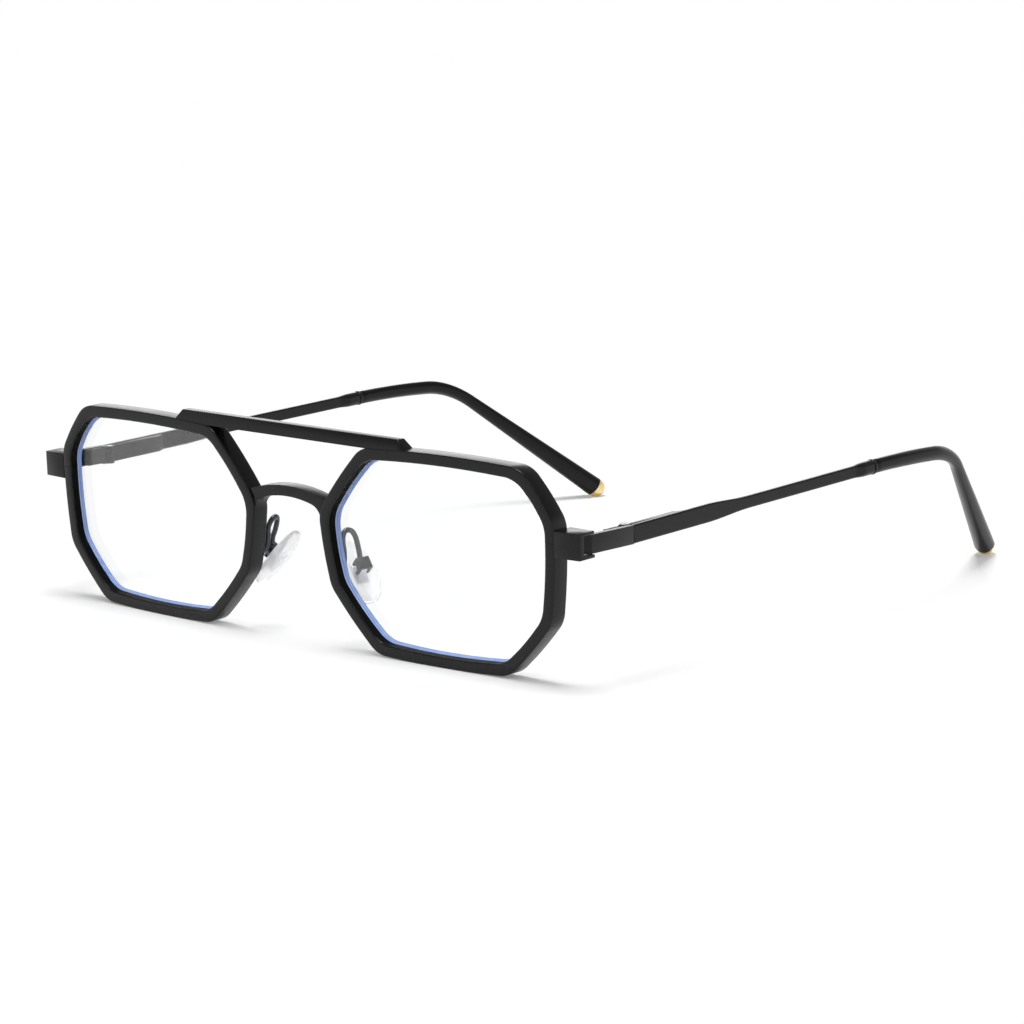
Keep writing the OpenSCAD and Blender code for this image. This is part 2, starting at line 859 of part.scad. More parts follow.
module left_rim() color("#202124") rim(1);
module right_rim() color("#202124") rim(-1);
module left_lens() color("#dfe6ee") lens(1);
module right_lens() color("#dfe6ee") lens(-1);
module brow_bar() color("#202124") bar_shape();
module nose_bridge() color("#202124") bridge_shape();
module left_end_cover() color("#232427") end_cover(1);
module right_end_cover() color("#232427") end_cover(-1);
module left_end_lug() color("#1c1d20") end_lug(1);
module right_end_lug() color("#1c1d20") end_lug(-1);
module left_lock_upper() color("#2a2b2e") lock_half(1, true);
module right_lock_upper() color("#2a2b2e") lock_half(-1, true);
module left_lock_lower() color("#2a2b2e") lock_half(1, false);
module right_lock_lower() color("#2a2b2e") lock_half(-1, false);
module left_lock_screw() color("#8d9095") lock_screw(1);
module right_lock_screw() color("#8d9095") lock_screw(-1);
module left_hinge_front() color("#2c2d31") hinge_front(1);
module right_hinge_front() color("#2c2d31") hinge_front(-1);
module left_hinge_back() color("#2c2d31") hinge_back(1);
module right_hinge_back() color("#2c2d31") hinge_back(-1);
module left_hinge_screw() color("#8d9095") hinge_screw(1);
module right_hinge_screw() color("#8d9095") hinge_screw(-1);
module left_temple_blade() color("#232427") temple_blade(1);
module right_temple_blade() color("#232427") temple_blade(-1);
module left_temple_core() color("#8d9095") temple_core(1);
module right_temple_core() color("#8d9095") temple_core(-1);
module left_tip_ring() color("#17181a") tip_ring(1);
module right_tip_ring() color("#17181a") tip_ring(-1);
module left_temple_tip() color("#141416") temple_tip(1);
module right_temple_tip() color("#141416") temple_tip(-1);
module left_tip_cap() color("#caa85a") tip_cap(1);
module right_tip_cap() color("#caa85a") tip_cap(-1);
module left_pad_arm() color("#3a3b3f") pad_arm(1);
module right_pad_arm() color("#3a3b3f") pad_arm(-1);
module left_pad_box() color("#3a3b3f") pad_box(1);
module right_pad_box() color("#3a3b3f") pad_box(-1);
module left_pad_screw() color("#a4a7ab") pad_screw(1);
module right_pad_screw() color("#a4a7ab") pad_screw(-1);
module left_pad_core() color("#b9bcc0") pad_core(1);
module right_pad_core() color("#b9bcc0") pad_core(-1);
module left_nose_pad() color("#eef1f3") nose_pad(1);
module right_nose_pad() color("#eef1f3") nose_pad(-1);

left_rim();
right_rim();
left_lens();
right_lens();
brow_bar();
nose_bridge();
left_end_cover();
right_end_cover();
left_end_lug();
right_end_lug();
left_lock_upper();
right_lock_upper();
left_lock_lower();
right_lock_lower();
left_lock_screw();
right_lock_screw();
left_hinge_front();
right_hinge_front();
left_hinge_back();
right_hinge_back();
left_hinge_screw();
right_hinge_screw();
left_temple_blade();
right_temple_blade();
left_temple_core();
right_temple_core();
left_tip_ring();
right_tip_ring();
left_temple_tip();
right_temple_tip();
left_tip_cap();
right_tip_cap();
left_pad_arm();
right_pad_arm();
left_pad_box();
right_pad_box();
left_pad_screw();
right_pad_screw();
left_pad_core();
right_pad_core();
left_nose_pad();
right_nose_pad();
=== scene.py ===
"""Looks of the octagonal double-bridge eyeglasses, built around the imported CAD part.

Each sub-assembly is a class with its sizes in millimetres. Its pieces are lofted or copied
from the CAD nodes with bmesh operators, ride on the CAD bodies and stand for the CAD nodes.
"""

import logging
import math
from dataclasses import dataclass
from enum import Enum
from typing import Any, Callable, Optional

import bmesh
import bpy
from bmesh.types import BMEdge, BMesh, BMFace, BMVert
from bpy.types import Material, Node, NodeSocket, NodeTree
from mathutils import Matrix, Vector


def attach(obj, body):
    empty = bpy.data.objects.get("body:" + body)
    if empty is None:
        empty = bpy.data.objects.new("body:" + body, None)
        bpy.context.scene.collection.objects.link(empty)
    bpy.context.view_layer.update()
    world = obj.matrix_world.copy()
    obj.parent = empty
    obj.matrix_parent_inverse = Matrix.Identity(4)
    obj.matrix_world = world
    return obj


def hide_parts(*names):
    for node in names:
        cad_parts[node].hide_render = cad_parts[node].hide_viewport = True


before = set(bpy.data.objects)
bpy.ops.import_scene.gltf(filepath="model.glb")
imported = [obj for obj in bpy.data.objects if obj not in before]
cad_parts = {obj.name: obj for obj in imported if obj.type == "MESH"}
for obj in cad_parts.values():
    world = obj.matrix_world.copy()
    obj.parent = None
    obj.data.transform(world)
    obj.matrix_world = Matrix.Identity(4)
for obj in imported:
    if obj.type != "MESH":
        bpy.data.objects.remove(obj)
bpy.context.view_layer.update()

Pair = tuple[float, float]
Point = tuple[float, float, float]

LOG = logging.getLogger("eyeglasses")
MM = 0.001
MIDDLE_Y = 69.846  # the hinge and front are drawn from the end pieces, the part from its middle
SMOOTH_ANGLE = math.radians(32)
FLAT_ANGLE = math.radians(0.4)  # faces of a CAD node that meet at less are one face
WELD = 1e-7  # metres, like the next three
NODE_WELD = 2e-6
CUT_DIST = 1e-8
EDGE_TOLERANCE = 1e-6
WHITE = (1.0, 1.0, 1.0, 1.0)


class Side(Enum):
    """The wearer's side that a piece sits on."""

    LEFT = 1
    RIGHT = -1

    @property
    def word(self) -> str:
        """The side's name, as the CAD nodes spell it."""
        return self.name.lower()


# Small helpers


def linear(hex_colour: str) -> tuple[float, float, float, float]:
    """Turns an sRGB hex value such as "#202124" to linear RGBA.

    Args:
        hex_colour: The colour, as a mark and six digits.

    Returns:
        Red, green, blue and an alpha of one.
    """
    parts = (int(hex_colour[i : i + 2], 16) / 255 for i in (1, 3, 5))
    r, g, b = (p / 12.92 if p <= 0.04045 else ((p + 0.055) / 1.055) ** 2.4 for p in parts)
    return (r, g, b, 1.0)


def add_node(tree: NodeTree, kind: str, inputs: Optional[dict] = None, **settings: Any) -> Node:
    """Adds a node to a tree.

    Args:
        tree: The tree that gets the node.
        kind: Blender's name of the node type.
        inputs: Input name or number to a value, or to the socket that feeds it.
        settings: Attributes of the node itself.

    Returns:
        The new node.
    """
    node = tree.nodes.new(kind)
    for name, value in settings.items():
        setattr(node, name, value)
    for name, value in (inputs or {}).items():
        if isinstance(value, NodeSocket):
            tree.links.new(value, node.inputs[name])
        else:
            node.inputs[name].default_value = value
    return node


def mix(a: Any, b: Any, t: float) -> Any:
    """The value at share t of the way from a to b."""
    return a + (b - a) * t


def ease(t: float) -> float:
    """A smooth step from 0 to 1."""
    c = max(0.0, min(1.0, t))
    return c * c * (3 - 2 * c)


def evenly(start: float, end: float, steps: int) -> list[float]:
    """Even places from start to end, steps + 1 of them."""
    return [mix(start, end, k / steps) for k in range(steps + 1)]


def arc(start: float, end: float, steps: int) -> list[Pair]:
    """Cosine and sine at steps + 1 even angles, given in degrees."""
    return [(math.cos(math.radians(a)), math.sin(math.radians(a))) for a in evenly(start, end, steps)]


def skin(bm: BMesh, loops: list[list[Vector]], ring: bool = False) -> list[list[BMFace]]:
    """Lofts closed loops of equal length into one surface.

    Args:
        bm: The mesh that gets the surface.
        loops: Closed loops of points, in order.
        ring: True where the last loop joins the first again, False where both ends are closed.

    Returns:
        The faces of each band, in order, with the two end faces last.
    """
    verts = [bm.verts.new(p) for p in loops[0]]
    count = len(verts)
    edges = [bm.edges.new((verts[k], verts[(k + 1) % count])) for k in range(count)]
    first, bands = edges, []
    for loop in loops[1:] + loops[:1] * ring:
        made = bmesh.ops.extrude_edge_only(bm, edges=edges)["geom"]
        fresh = {x for x in made if isinstance(x, BMVert)}
        bands.append([x for x in made if isinstance(x, BMFace)])
        verts = [
            next(e.other_vert(v) for e in v.link_edges if e.other_vert(v) in fresh) for v in verts
        ]
        for vert, point in zip(verts, loop):
            vert.co = point
        edges = [bm.edges.get((verts[k], verts[(k + 1) % count])) for k in range(count)]
    if not ring:
        bands += [bmesh.ops.contextual_create(bm, geom=rim)["faces"] for rim in (first, edges)]
    return bands


def second_finish(bands: list[list[BMFace]]) -> None:
    """Gives bands of faces the piece's second material.

    Args:
        bands: The bands of faces, as skin returns them.
    """
    for band in bands:
        for face in band:
            face.material_index = 1


def cut_below_table(bm: BMesh) -> None:
    """Cuts away what lies under the table top and closes the cut with a flat face.

    Args:
        bm: The mesh, in place, in metres.
    """
    cut = bmesh.ops.bisect_plane(
        bm,
        geom=[*bm.verts, *bm.edges, *bm.faces],
        dist=CUT_DIST,
        plane_co=(0, 0, 0),
        plane_no=(0, 0, 1),
        clear_inner=True,
    )["geom_cut"]
    edges = [e for e in cut if isinstance(e, BMEdge) and e.is_boundary]
    if edges:
        bmesh.ops.holes_fill(bm, edges=edges, sides=0)


def add_piece(node: str, bm: BMesh, body: str, slot: str, *materials: Material) -> None:
    """Makes an object of a finished mesh, rides it on its body and hides the CAD node it stands for.

    Args:
        node: The CAD node that the piece stands for, which gives it its name.
        bm: Its mesh, in place, in metres.
        body: The CAD body it rides on.
        slot: The record's material slot it would take its finish from; not used.
        materials: The object's materials in slot order.
    """
    name = f"{node}_finished"
    bmesh.ops.remove_doubles(bm, verts=bm.verts, dist=WELD)
    bmesh.ops.recalc_face_normals(bm, faces=bm.faces)
    mesh = bpy.data.meshes.new(name)
    bm.to_mesh(mesh)
    bm.free()
    for material in materials:
        mesh.materials.append(material)
    mesh.shade_smooth()
    mesh.set_sharp_from_angle(angle=SMOOTH_ANGLE)
    piece = bpy.data.objects.new(name, mesh)
    bpy.context.scene.collection.objects.link(piece)
    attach(piece, body)
    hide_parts(node)
    LOG.info("%s: %d faces on %s", name, len(mesh.polygons), body)


def softened(
    node: str,
    width: float,
    material: Material,
    body: str,
    slot: str,
    segments: int = 3,
    least_angle: float = 35.0,
    reshape: Optional[Callable[[BMesh], None]] = None,
) -> None:
    """Copies a CAD node, merges its triangles and rounds its sharp edges.

    Args:
        node: The CAD node.
        width: Width of the rounding in millimetres.
        material: The copy's material.
        body: The CAD body it rides on.
        slot: The record's material slot; passed on to add_piece, which does not use it.
        segments: Steps of the rounding.
        least_angle: Edges sharper than this many degrees are rounded.
        reshape: Changes the merged copy before its edges are rounded.
    """
    bm = bmesh.new()
    bm.from_mesh(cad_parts[node].data)
    bmesh.ops.remove_doubles(bm, verts=bm.verts, dist=NODE_WELD)
    bmesh.ops.dissolve_limit(
        bm, angle_limit=FLAT_ANGLE, verts=bm.verts, edges=bm.edges, use_dissolve_boundaries=False
    )
    bmesh.ops.recalc_face_normals(bm, faces=bm.faces)
    if reshape:
        reshape(bm)
    least = math.radians(least_angle)
    sharp = [e for e in bm.edges if len(e.link_faces) == 2 and e.calc_face_angle(0) > least]
    bmesh.ops.bevel(
        bm,
        geom=sharp,
        offset=width * MM,
        offset_type="OFFSET",
        affect="EDGES",
        segments=segments,
        profile=0.5,
        material=-1,
        clamp_overlap=True,
    )
    add_piece(node, bm, body, slot, material)


# Finishes


@dataclass(frozen=True)
class Finish:
    """A finish: its name and how its material is made."""

    name: str

    def material(self) -> Material:
        """Makes the material: an empty tree, the finish's shader and the output.

        Returns:
            The new material.
        """
        material = bpy.data.materials.new(self.name)
        material.use_nodes = True
        tree = material.node_tree
        tree.nodes.clear()
        place = add_node(tree, "ShaderNodeTexCoord").outputs["Object"]
        shader = self.shader(tree, place)
        add_node(tree, "ShaderNodeOutputMaterial", {"Surface": shader})
        return material

    def shader(self, tree: NodeTree, place: NodeSocket) -> NodeSocket:
        """The finish's shader, patterned on the surface's Object coordinates."""
        raise NotImplementedError

    def grained(
        self,
        tree: NodeTree,
        place: NodeSocket,
        grain: Pair,
        inputs: dict,
        rough: Optional[Pair] = None,
        shades: Optional[tuple[str, str]] = None,
        bump: Optional[Pair] = None,
    ) -> NodeSocket:
        """A surface whose roughness, shades and bumps follow a noise.

        Args:
            tree: The material's tree.
            place: The surface's Object coordinates.
            grain: Size of the noise's grains in millimetres, and its detail.
            inputs: The surface's other inputs.
            rough: Roughness where the noise is lowest and highest.
            shades: Colours where the noise is lowest and highest, as sRGB hex values.
            bump: Height in millimetres, and strength.

        Returns:
            The shader's socket.
        """
        size_mm, detail = grain
        noise = add_node(
            tree, "ShaderNodeTexNoise",
            {"Vector": place, "Scale": 1 / (size_mm * MM), "Detail": detail}).outputs["Fac"]
        inputs = dict(inputs)
        if rough:
            ranged = add_node(
                tree, "ShaderNodeMapRange", {"Value": noise, "To Min": rough[0], "To Max": rough[1]})
            inputs["Roughness"] = ranged.outputs["Result"]
        if shades:
            low, high = (linear(shade) for shade in shades)
            shaded = add_node(
                tree, "ShaderNodeMix", {"Factor": noise, 6: low, 7: high}, data_type="RGBA")
            inputs["Base Color"] = shaded.outputs[2]
        if bump:
            bumped = add_node(
                tree, "ShaderNodeBump",
                {"Height": noise, "Distance": bump[0] * MM, "Strength": bump[1]})
            inputs["Normal"] = bumped.outputs["Normal"]
        return add_node(tree, "ShaderNodeBsdfPrincipled", inputs).outputs["BSDF"]


@dataclass(frozen=True)
class BakedLacquer(Finish):
    """Black satin lacquer, sprayed on the metal and baked: a fine soft grain, no flow marks."""

    colour: str = "#0f0f10"
    dark: str = "#060607"
    roughness: float = 0.27
    spread: float = 0.05
    grain_mm: float = 0.22  # the real grain is about 0.05 mm, drawn as coarse as it shows
    height_mm: float = 0.004
    specular: float = 0.28
    detail: float = 3.0
    cloud_mm: float = 6.0
    cloud_detail: float = 2.0
    bump: float = 0.6

    def shader(self, tree: NodeTree, place: NodeSocket) -> NodeSocket:
        """The lacquer's shader: a fine grain, and clouds in its roughness.

        Args:
            tree: The material's tree.
            place: The surface's Object coordinates.

        Returns:
            The shader's socket.
        """
        cloud = add_node(
            tree, "ShaderNodeTexNoise",
            {"Vector": place, "Scale": 1 / (self.cloud_mm * MM), "Detail": self.cloud_detail})
        rough = add_node(
            tree, "ShaderNodeMapRange",
            {"Value": cloud.outputs["Fac"], "To Min": self.roughness - self.spread,
             "To Max": self.roughness + self.spread})
        return self.grained(
            tree, place, (self.grain_mm, self.detail),
            {"Specular IOR Level": self.specular, "Roughness": rough.outputs["Result"]},
            shades=(self.dark, self.colour), bump=(self.height_mm, self.bump))


@dataclass(frozen=True)
class PolishedAcetate(Finish):
    """Black cellulose acetate, tumbled and polished: deep gloss over a faint waviness."""

    colour: str = "#060607"
    least_rough: float = 0.16
    most_rough: float = 0.25
    specular: float = 0.24
    ior: float = 1.49
    wave_mm: float = 2.5
    detail: float = 1.0
    height_mm: float = 0.02
    bump: float = 0.35

    def shader(self, tree: NodeTree, place: NodeSocket) -> NodeSocket:
        """The acetate's shader: its waves show in the gloss.

        Args:
            tree: The material's tree.
            place: The surface's Object coordinates.

        Returns:
            The shader's socket.
        """
        return self.grained(
            tree, place, (self.wave_mm, self.detail),
            {"Base Color": linear(self.colour), "IOR": self.ior, "Specular IOR Level": self.specular},
            rough=(self.least_rough, self.most_rough), bump=(self.height_mm, self.bump))


@dataclass(frozen=True)
class BareMetal(Finish):
    """Turned or plated metal: fine tool lines break its shine."""

    colour: str = "#b9bcc0"
    shade: str = "#8d9095"
    roughness: float = 0.24
    line_mm: float = 0.12
    metallic: float = 1.0
    smoother: float = 0.05
    rougher: float = 0.08
    detail: float = 2.0
    height_mm: float = 0.003
    bump: float = 0.4

    def shader(self, tree: NodeTree, place: NodeSocket) -> NodeSocket:
        """The metal's shader: shades, roughness and bumps follow the tool lines.

        Args:
            tree: The material's tree.
            place: The surface's Object coordinates.

        Returns:
            The shader's socket.
        """
        return self.grained(
            tree, place, (self.line_mm, self.detail), {"Metallic": self.metallic},
            rough=(self.roughness - self.smoother, self.roughness + self.rougher),
            shades=(self.shade, self.colour), bump=(self.height_mm, self.bump))


@dataclass(frozen=True)
class ClearBody(Finish):
    """Clear cast or moulded plastic: lamps pass it, and it shines at its edges."""

    colour: str = "#feffff"
    roughness: float = 0.03
    ior: float = 1.5
    wave_mm: float = 5.0
    height_mm: float = 0.01
    shadow: str = "#f4f6f8"
    clearness: float = 1.0
    detail: float = 1.0
    bump: float = 0.3

    def shader(self, tree: NodeTree, place: NodeSocket) -> NodeSocket:
        """The clear shader, which lets the lamps' light through.

        Args:
            tree: The material's tree.
            place: The surface's Object coordinates.

        Returns:
            The shader's socket.
        """
        body = self.grained(
            tree, place, (self.wave_mm, self.detail),
            {"Base Color": linear(self.colour), "Roughness": self.roughness, "IOR": self.ior,
             "Transmission Weight": self.clearness},
            bump=(self.height_mm, self.bump))
        passed = add_node(tree, "ShaderNodeBsdfTransparent", {"Color": linear(self.shadow)})
        path = add_node(tree, "ShaderNodeLightPath")
        both = add_node(
            tree, "ShaderNodeMixShader",
            {0: path.outputs["Is Shadow Ray"], 1: body, 2: passed.outputs["BSDF"]})
        return both.outputs["Shader"]


@dataclass(frozen=True)
class CoatingSheenEdge(Finish):
    """The ground edge of a coated lens, painted blue-violet: a painted reflection of the coating's
    sheen.
    """

    # Both shades are painted reflection: the coating's blue-violet sheen, not the edge's own colour.
    colour: str = "#d8e5ff"
    deep: str = "#aec8ff"
    roughness: float = 0.35
    cloud_mm: float = 3.0
    detail: float = 2.0

    def shader(self, tree: NodeTree, place: NodeSocket) -> NodeSocket:
        """The edge's shader, in clouds of two shades of painted reflection.

        Args:
            tree: The material's tree.
            place: The surface's Object coordinates.

        Returns:
            The shader's socket.
        """
        return self.grained(
            tree, place, (self.cloud_mm, self.detail), {"Roughness": self.roughness},
            shades=(self.deep, self.colour))


@dataclass(frozen=True)
class Palette:
    """The finishes of the whole object, built once."""

    lacquer: Material
    groove: Material
    acetate: Material
    gold: Material
    seam: Material
    steel: Material
    gunmetal: Material
    lens: Material
    lens_edge: Material
    pad: Material
    pale: Material

    @classmethod
    def build(cls) -> "Palette":
        """Builds every finish.

        Returns:
            The palette.
        """
        return cls(
            lacquer=BakedLacquer("baked_black_lacquer").material(),
            # Painted shade: the groove's lacquer is duller, and darker in colour where the rim's inner
            # wall lies in shade.
            groove=BakedLacquer(
                "matt_groove_lacquer_painted_shade", "#0b0b0c", "#050506", roughness=0.55, specular=0.07).material(),
            acetate=PolishedAcetate("polished_black_acetate").material(),
            gold=BareMetal("pale_gold_plate", "#f6e2b0", "#e2c183", 0.22, 0.3).material(),
            seam=BakedLacquer("dark_cap_seam", "#2a1d12", "#1a120b").material(),
            steel=BareMetal("turned_steel", "#e6e8ea", "#b4b7bb", 0.26).material(),
            gunmetal=BareMetal("gunmetal_plate", "#55575d", "#3c3e44", 0.3, 0.2, 0.85).material(),
            lens=ClearBody("coated_lens_plastic").material(),
            lens_edge=CoatingSheenEdge("lens_edge_painted_sheen").material(),
            pad=ClearBody(
                "clear_pad_silicone", "#fdfdfe", roughness=0.1, ior=1.15, wave_mm=2.0, height_mm=0.02,
                shadow="#eef0f2", clearness=0.7).material(),
            pale=BareMetal("frosted_pad_plate", "#f4f5f6", "#e2e4e6", 0.4, 0.3, 0.2).material(),
        )


# The front


@dataclass(frozen=True)
class FrontShape:
    """The outline and the curve that rims, lenses and bars share, in millimetres."""

    overall_width: float = 140.0
    rim_width: float = 56.4
    rim_height: float = 38.4
    rim_face: float = 2.1
    rim_depth: float = 3.7
    corner_radius: float = 5.6
    opening_radius: float = 6.5
    side_bow: float = 0.012
    front_curve: float = 850.0
    front_lean: float = 1.5
    end_reach: float = 5.4
    end_share: float = 0.661
    foot_flat: float = 0.1
    corner_steps: int = 8
    side_steps: int = 7
    corners: tuple[Pair, ...] = (
        (0.241, 0), (0.796, 0), (0.977, 0.276), (1, 0.758),
        (0.871, 1), (0.202, 1), (0, 0.659), (0.046, 0.297),
    )

    @property
    def out_x(self) -> float:
        """The rim's outermost x."""
        return self.overall_width / 2 - self.end_reach

    @property
    def in_x(self) -> float:
        """The rim's innermost x."""
        return self.out_x - self.rim_width

    @property
    def base_z(self) -> float:
        """Height of the rim's lowest corners."""
        low_side = self.rim_width * (self.corners[1][0] - self.corners[0][0])
        return self.side_bow * low_side - self.foot_flat

    @property
    def middle(self) -> Vector:
        """The rim's middle, seen from the front."""
        return Vector((self.in_x + self.rim_width / 2, self.base_z + self.rim_height / 2))

    @property
    def end_mid_z(self) -> float:
        """Height of the end piece's middle."""
        return self.base_z + self.rim_height * self.end_share

    def corner(self, i: int) -> Vector:
        """The i-th corner of the outline before it is rounded."""
        share = self.corners[i % len(self.corners)]
        return Vector((self.in_x + share[0] * self.rim_width, self.base_z + share[1] * self.rim_height))

    def side_dir(self, i: int) -> Vector:
        """Direction of the side that starts at corner i."""
        return (self.corner(i + 1) - self.corner(i)).normalized()

    def inset_corner(self, i: int, inset: float) -> Vector:
        """Corner i of the outline moved inwards.

        Args:
            i: Number of the corner.
            inset: How far inwards.

        Returns:
            The corner before it is rounded.
        """
        u, v = self.side_dir(i - 1), self.side_dir(i)
        p = self.corner(i - 1) + inward(u) * inset
        q = self.corner(i) + inward(v) * inset
        gap = q - p
        return p + u * ((gap.x * v.y - gap.y * v.x) / (u.x * v.y - u.y * v.x))

    def outline(self, inset: float) -> list[Vector]:
        """The outline moved inwards by inset: a rounded corner, then a bowed side, eight times.

        Args:
            inset: How far inwards.

        Returns:
            The closed loop, as x and z.
        """
        radius = mix(self.corner_radius, self.opening_radius, max(0.0, inset) / self.rim_face)
        count = len(self.corners)
        turns = [math.acos(self.side_dir(i - 1).dot(self.side_dir(i))) for i in range(count + 1)]
        runs = [radius * math.tan(t / 2) for t in turns]
        points = []
        for i in range(count):
            u, v, w = self.side_dir(i - 1), self.side_dir(i), self.inset_corner(i, inset)
            start = w - u * runs[i]
            centre = start + inward(u) * radius
            spoke = start - centre
            for k in range(self.corner_steps):
                points.append(centre + turned(spoke, turns[i] * k / self.corner_steps))
            a, b = w + v * runs[i], self.inset_corner(i + 1, inset) - v * runs[i + 1]
            bow = self.side_bow * (self.corner(i + 1) - self.corner(i)).length
            for k in range(self.side_steps):
                t = k / self.side_steps
                points.append(mix(a, b, t) - inward(v) * (bow * 4 * t * (1 - t)))
        return points

    def front_y(self, x: float, behind: float) -> float:
        """The y of the curved front at x, a distance behind its face.

        Args:
            x: Distance from the middle.
            behind: Depth behind the face.

        Returns:
            The y.
        """
        foremost = -self.overall_width**2 / 8 / self.front_curve
        radius = self.front_curve - behind
        return foremost + self.front_curve - math.sqrt(radius * radius - x * x)

    def place(self, x: float, y: float, z: float, side: Side = Side.LEFT, lean: bool = True) -> Vector:
        """A drawn point in the part's frame, in metres: leant, mirrored and moved.

        Args:
            x: To the side.
            y: Back from the end pieces.
            z: Up from the table.
            side: The wearer's side that the point goes to.
            lean: Whether the point leans with the front.

        Returns:
            The point.
        """
        if lean:
            a = math.radians(self.front_lean)
            y, z = y * math.cos(a) - z * math.sin(a), y * math.sin(a) + z * math.cos(a)
        return Vector((x * side.value, y - MIDDLE_Y, z)) * MM


def inward(u: Vector) -> Vector:
    """The direction to the left of u: the inside of an outline drawn anticlockwise."""
    return Vector((-u.y, u.x))


def turned(v: Vector, angle: float) -> Vector:
    """A flat vector turned by an angle in radians."""
    c, s = math.cos(angle), math.sin(angle)
    return Vector((v.x * c - v.y * s, v.x * s + v.y * c))


FRONT = FrontShape()


@dataclass(frozen=True)
class Rim:
    """A closed eyewire: a strip with softened edges and a groove, bent round the outline.

    The groove_bands are those of its inner wall and groove, which have the matt finish, darker in colour
    as painted shade.
    """

    side: Side
    outer_front: float = 0.28
    inner_front: float = 0.3
    inner_back: float = 0.3
    outer_back: float = 0.3
    groove_front: float = 2.2
    groove_back: float = 3.2
    groove_depth: float = 0.6
    slit: float = 0.05
    slit_beyond: float = 50.0
    round_steps: int = 4
    groove_bands: int = 5

    def section(self) -> list[Pair]:
        """The strip's section as pairs of inset and depth behind the face.

        Returns:
            The closed section, from the front of the outer edge.
        """
        face, depth = FRONT.rim_face, FRONT.rim_depth
        floor = face - self.groove_depth
        points = [(self.outer_front * (1 - c), self.outer_front * (1 - s))
                  for c, s in arc(0, 90, self.round_steps)]
        r = self.inner_front
        points += [(face - r + r * s, r - r * c) for c, s in arc(0, 90, self.round_steps)]
        points += [(face, self.groove_front), (floor, self.groove_front),
                   (floor, self.groove_back), (face, self.groove_back)]
        r = self.inner_back
        points += [(face - r + r * c, depth - r + r * s) for c, s in arc(0, 90, self.round_steps)]
        r = self.outer_back
        points += [(r - r * s, depth - r + r * c) for c, s in arc(0, 90, self.round_steps)]
        return points

    def outer_faces(self, bm: BMesh) -> list[BMFace]:
        """The faces of the rim's outer part, where the slit is."""
        beyond = self.slit_beyond * MM
        return [f for f in bm.faces if f.calc_center_median().x * self.side.value > beyond]

    def cut_slit(self, bm: BMesh) -> None:
        """Cuts the closed strip open behind the end piece.

        Args:
            bm: The rim's mesh.
        """
        middle = FRONT.place(FRONT.out_x, 0, FRONT.end_mid_z).z
        half = self.slit / 2 * MM
        for height in (middle - half, middle + half):
            faces = self.outer_faces(bm)
            geom = {v for f in faces for v in f.verts} | {e for f in faces for e in f.edges} | set(faces)
            bmesh.ops.bisect_plane(
                bm, geom=list(geom), dist=CUT_DIST, plane_co=(0, 0, height), plane_no=(0, 0, 1))
        gone = [f for f in self.outer_faces(bm) if abs(f.calc_center_median().z - middle) < half]
        bmesh.ops.delete(bm, geom=gone, context="FACES")
        bmesh.ops.holes_fill(bm, edges=[e for e in bm.edges if e.is_boundary], sides=0)

    def build(self, palette: Palette) -> None:
        """Builds the rim.

        Args:
            palette: The finishes of the whole object.
        """
        bm = bmesh.new()
        loops = [
            [FRONT.place(p.x, FRONT.front_y(p.x, behind), p.y, self.side) for p in FRONT.outline(inset)]
            for inset, behind in self.section()
        ]
        bands = skin(bm, loops, ring=True)
        wall = 2 * self.round_steps + 1
        # The inner wall and groove take the matt lacquer whose darker colour is painted shade.
        second_finish(bands[wall : wall + self.groove_bands])
        cut_below_table(bm)
        self.cut_slit(bm)
        add_piece(f"{self.side.word}_rim", bm, "front", "black_metal", palette.lacquer, palette.groove)


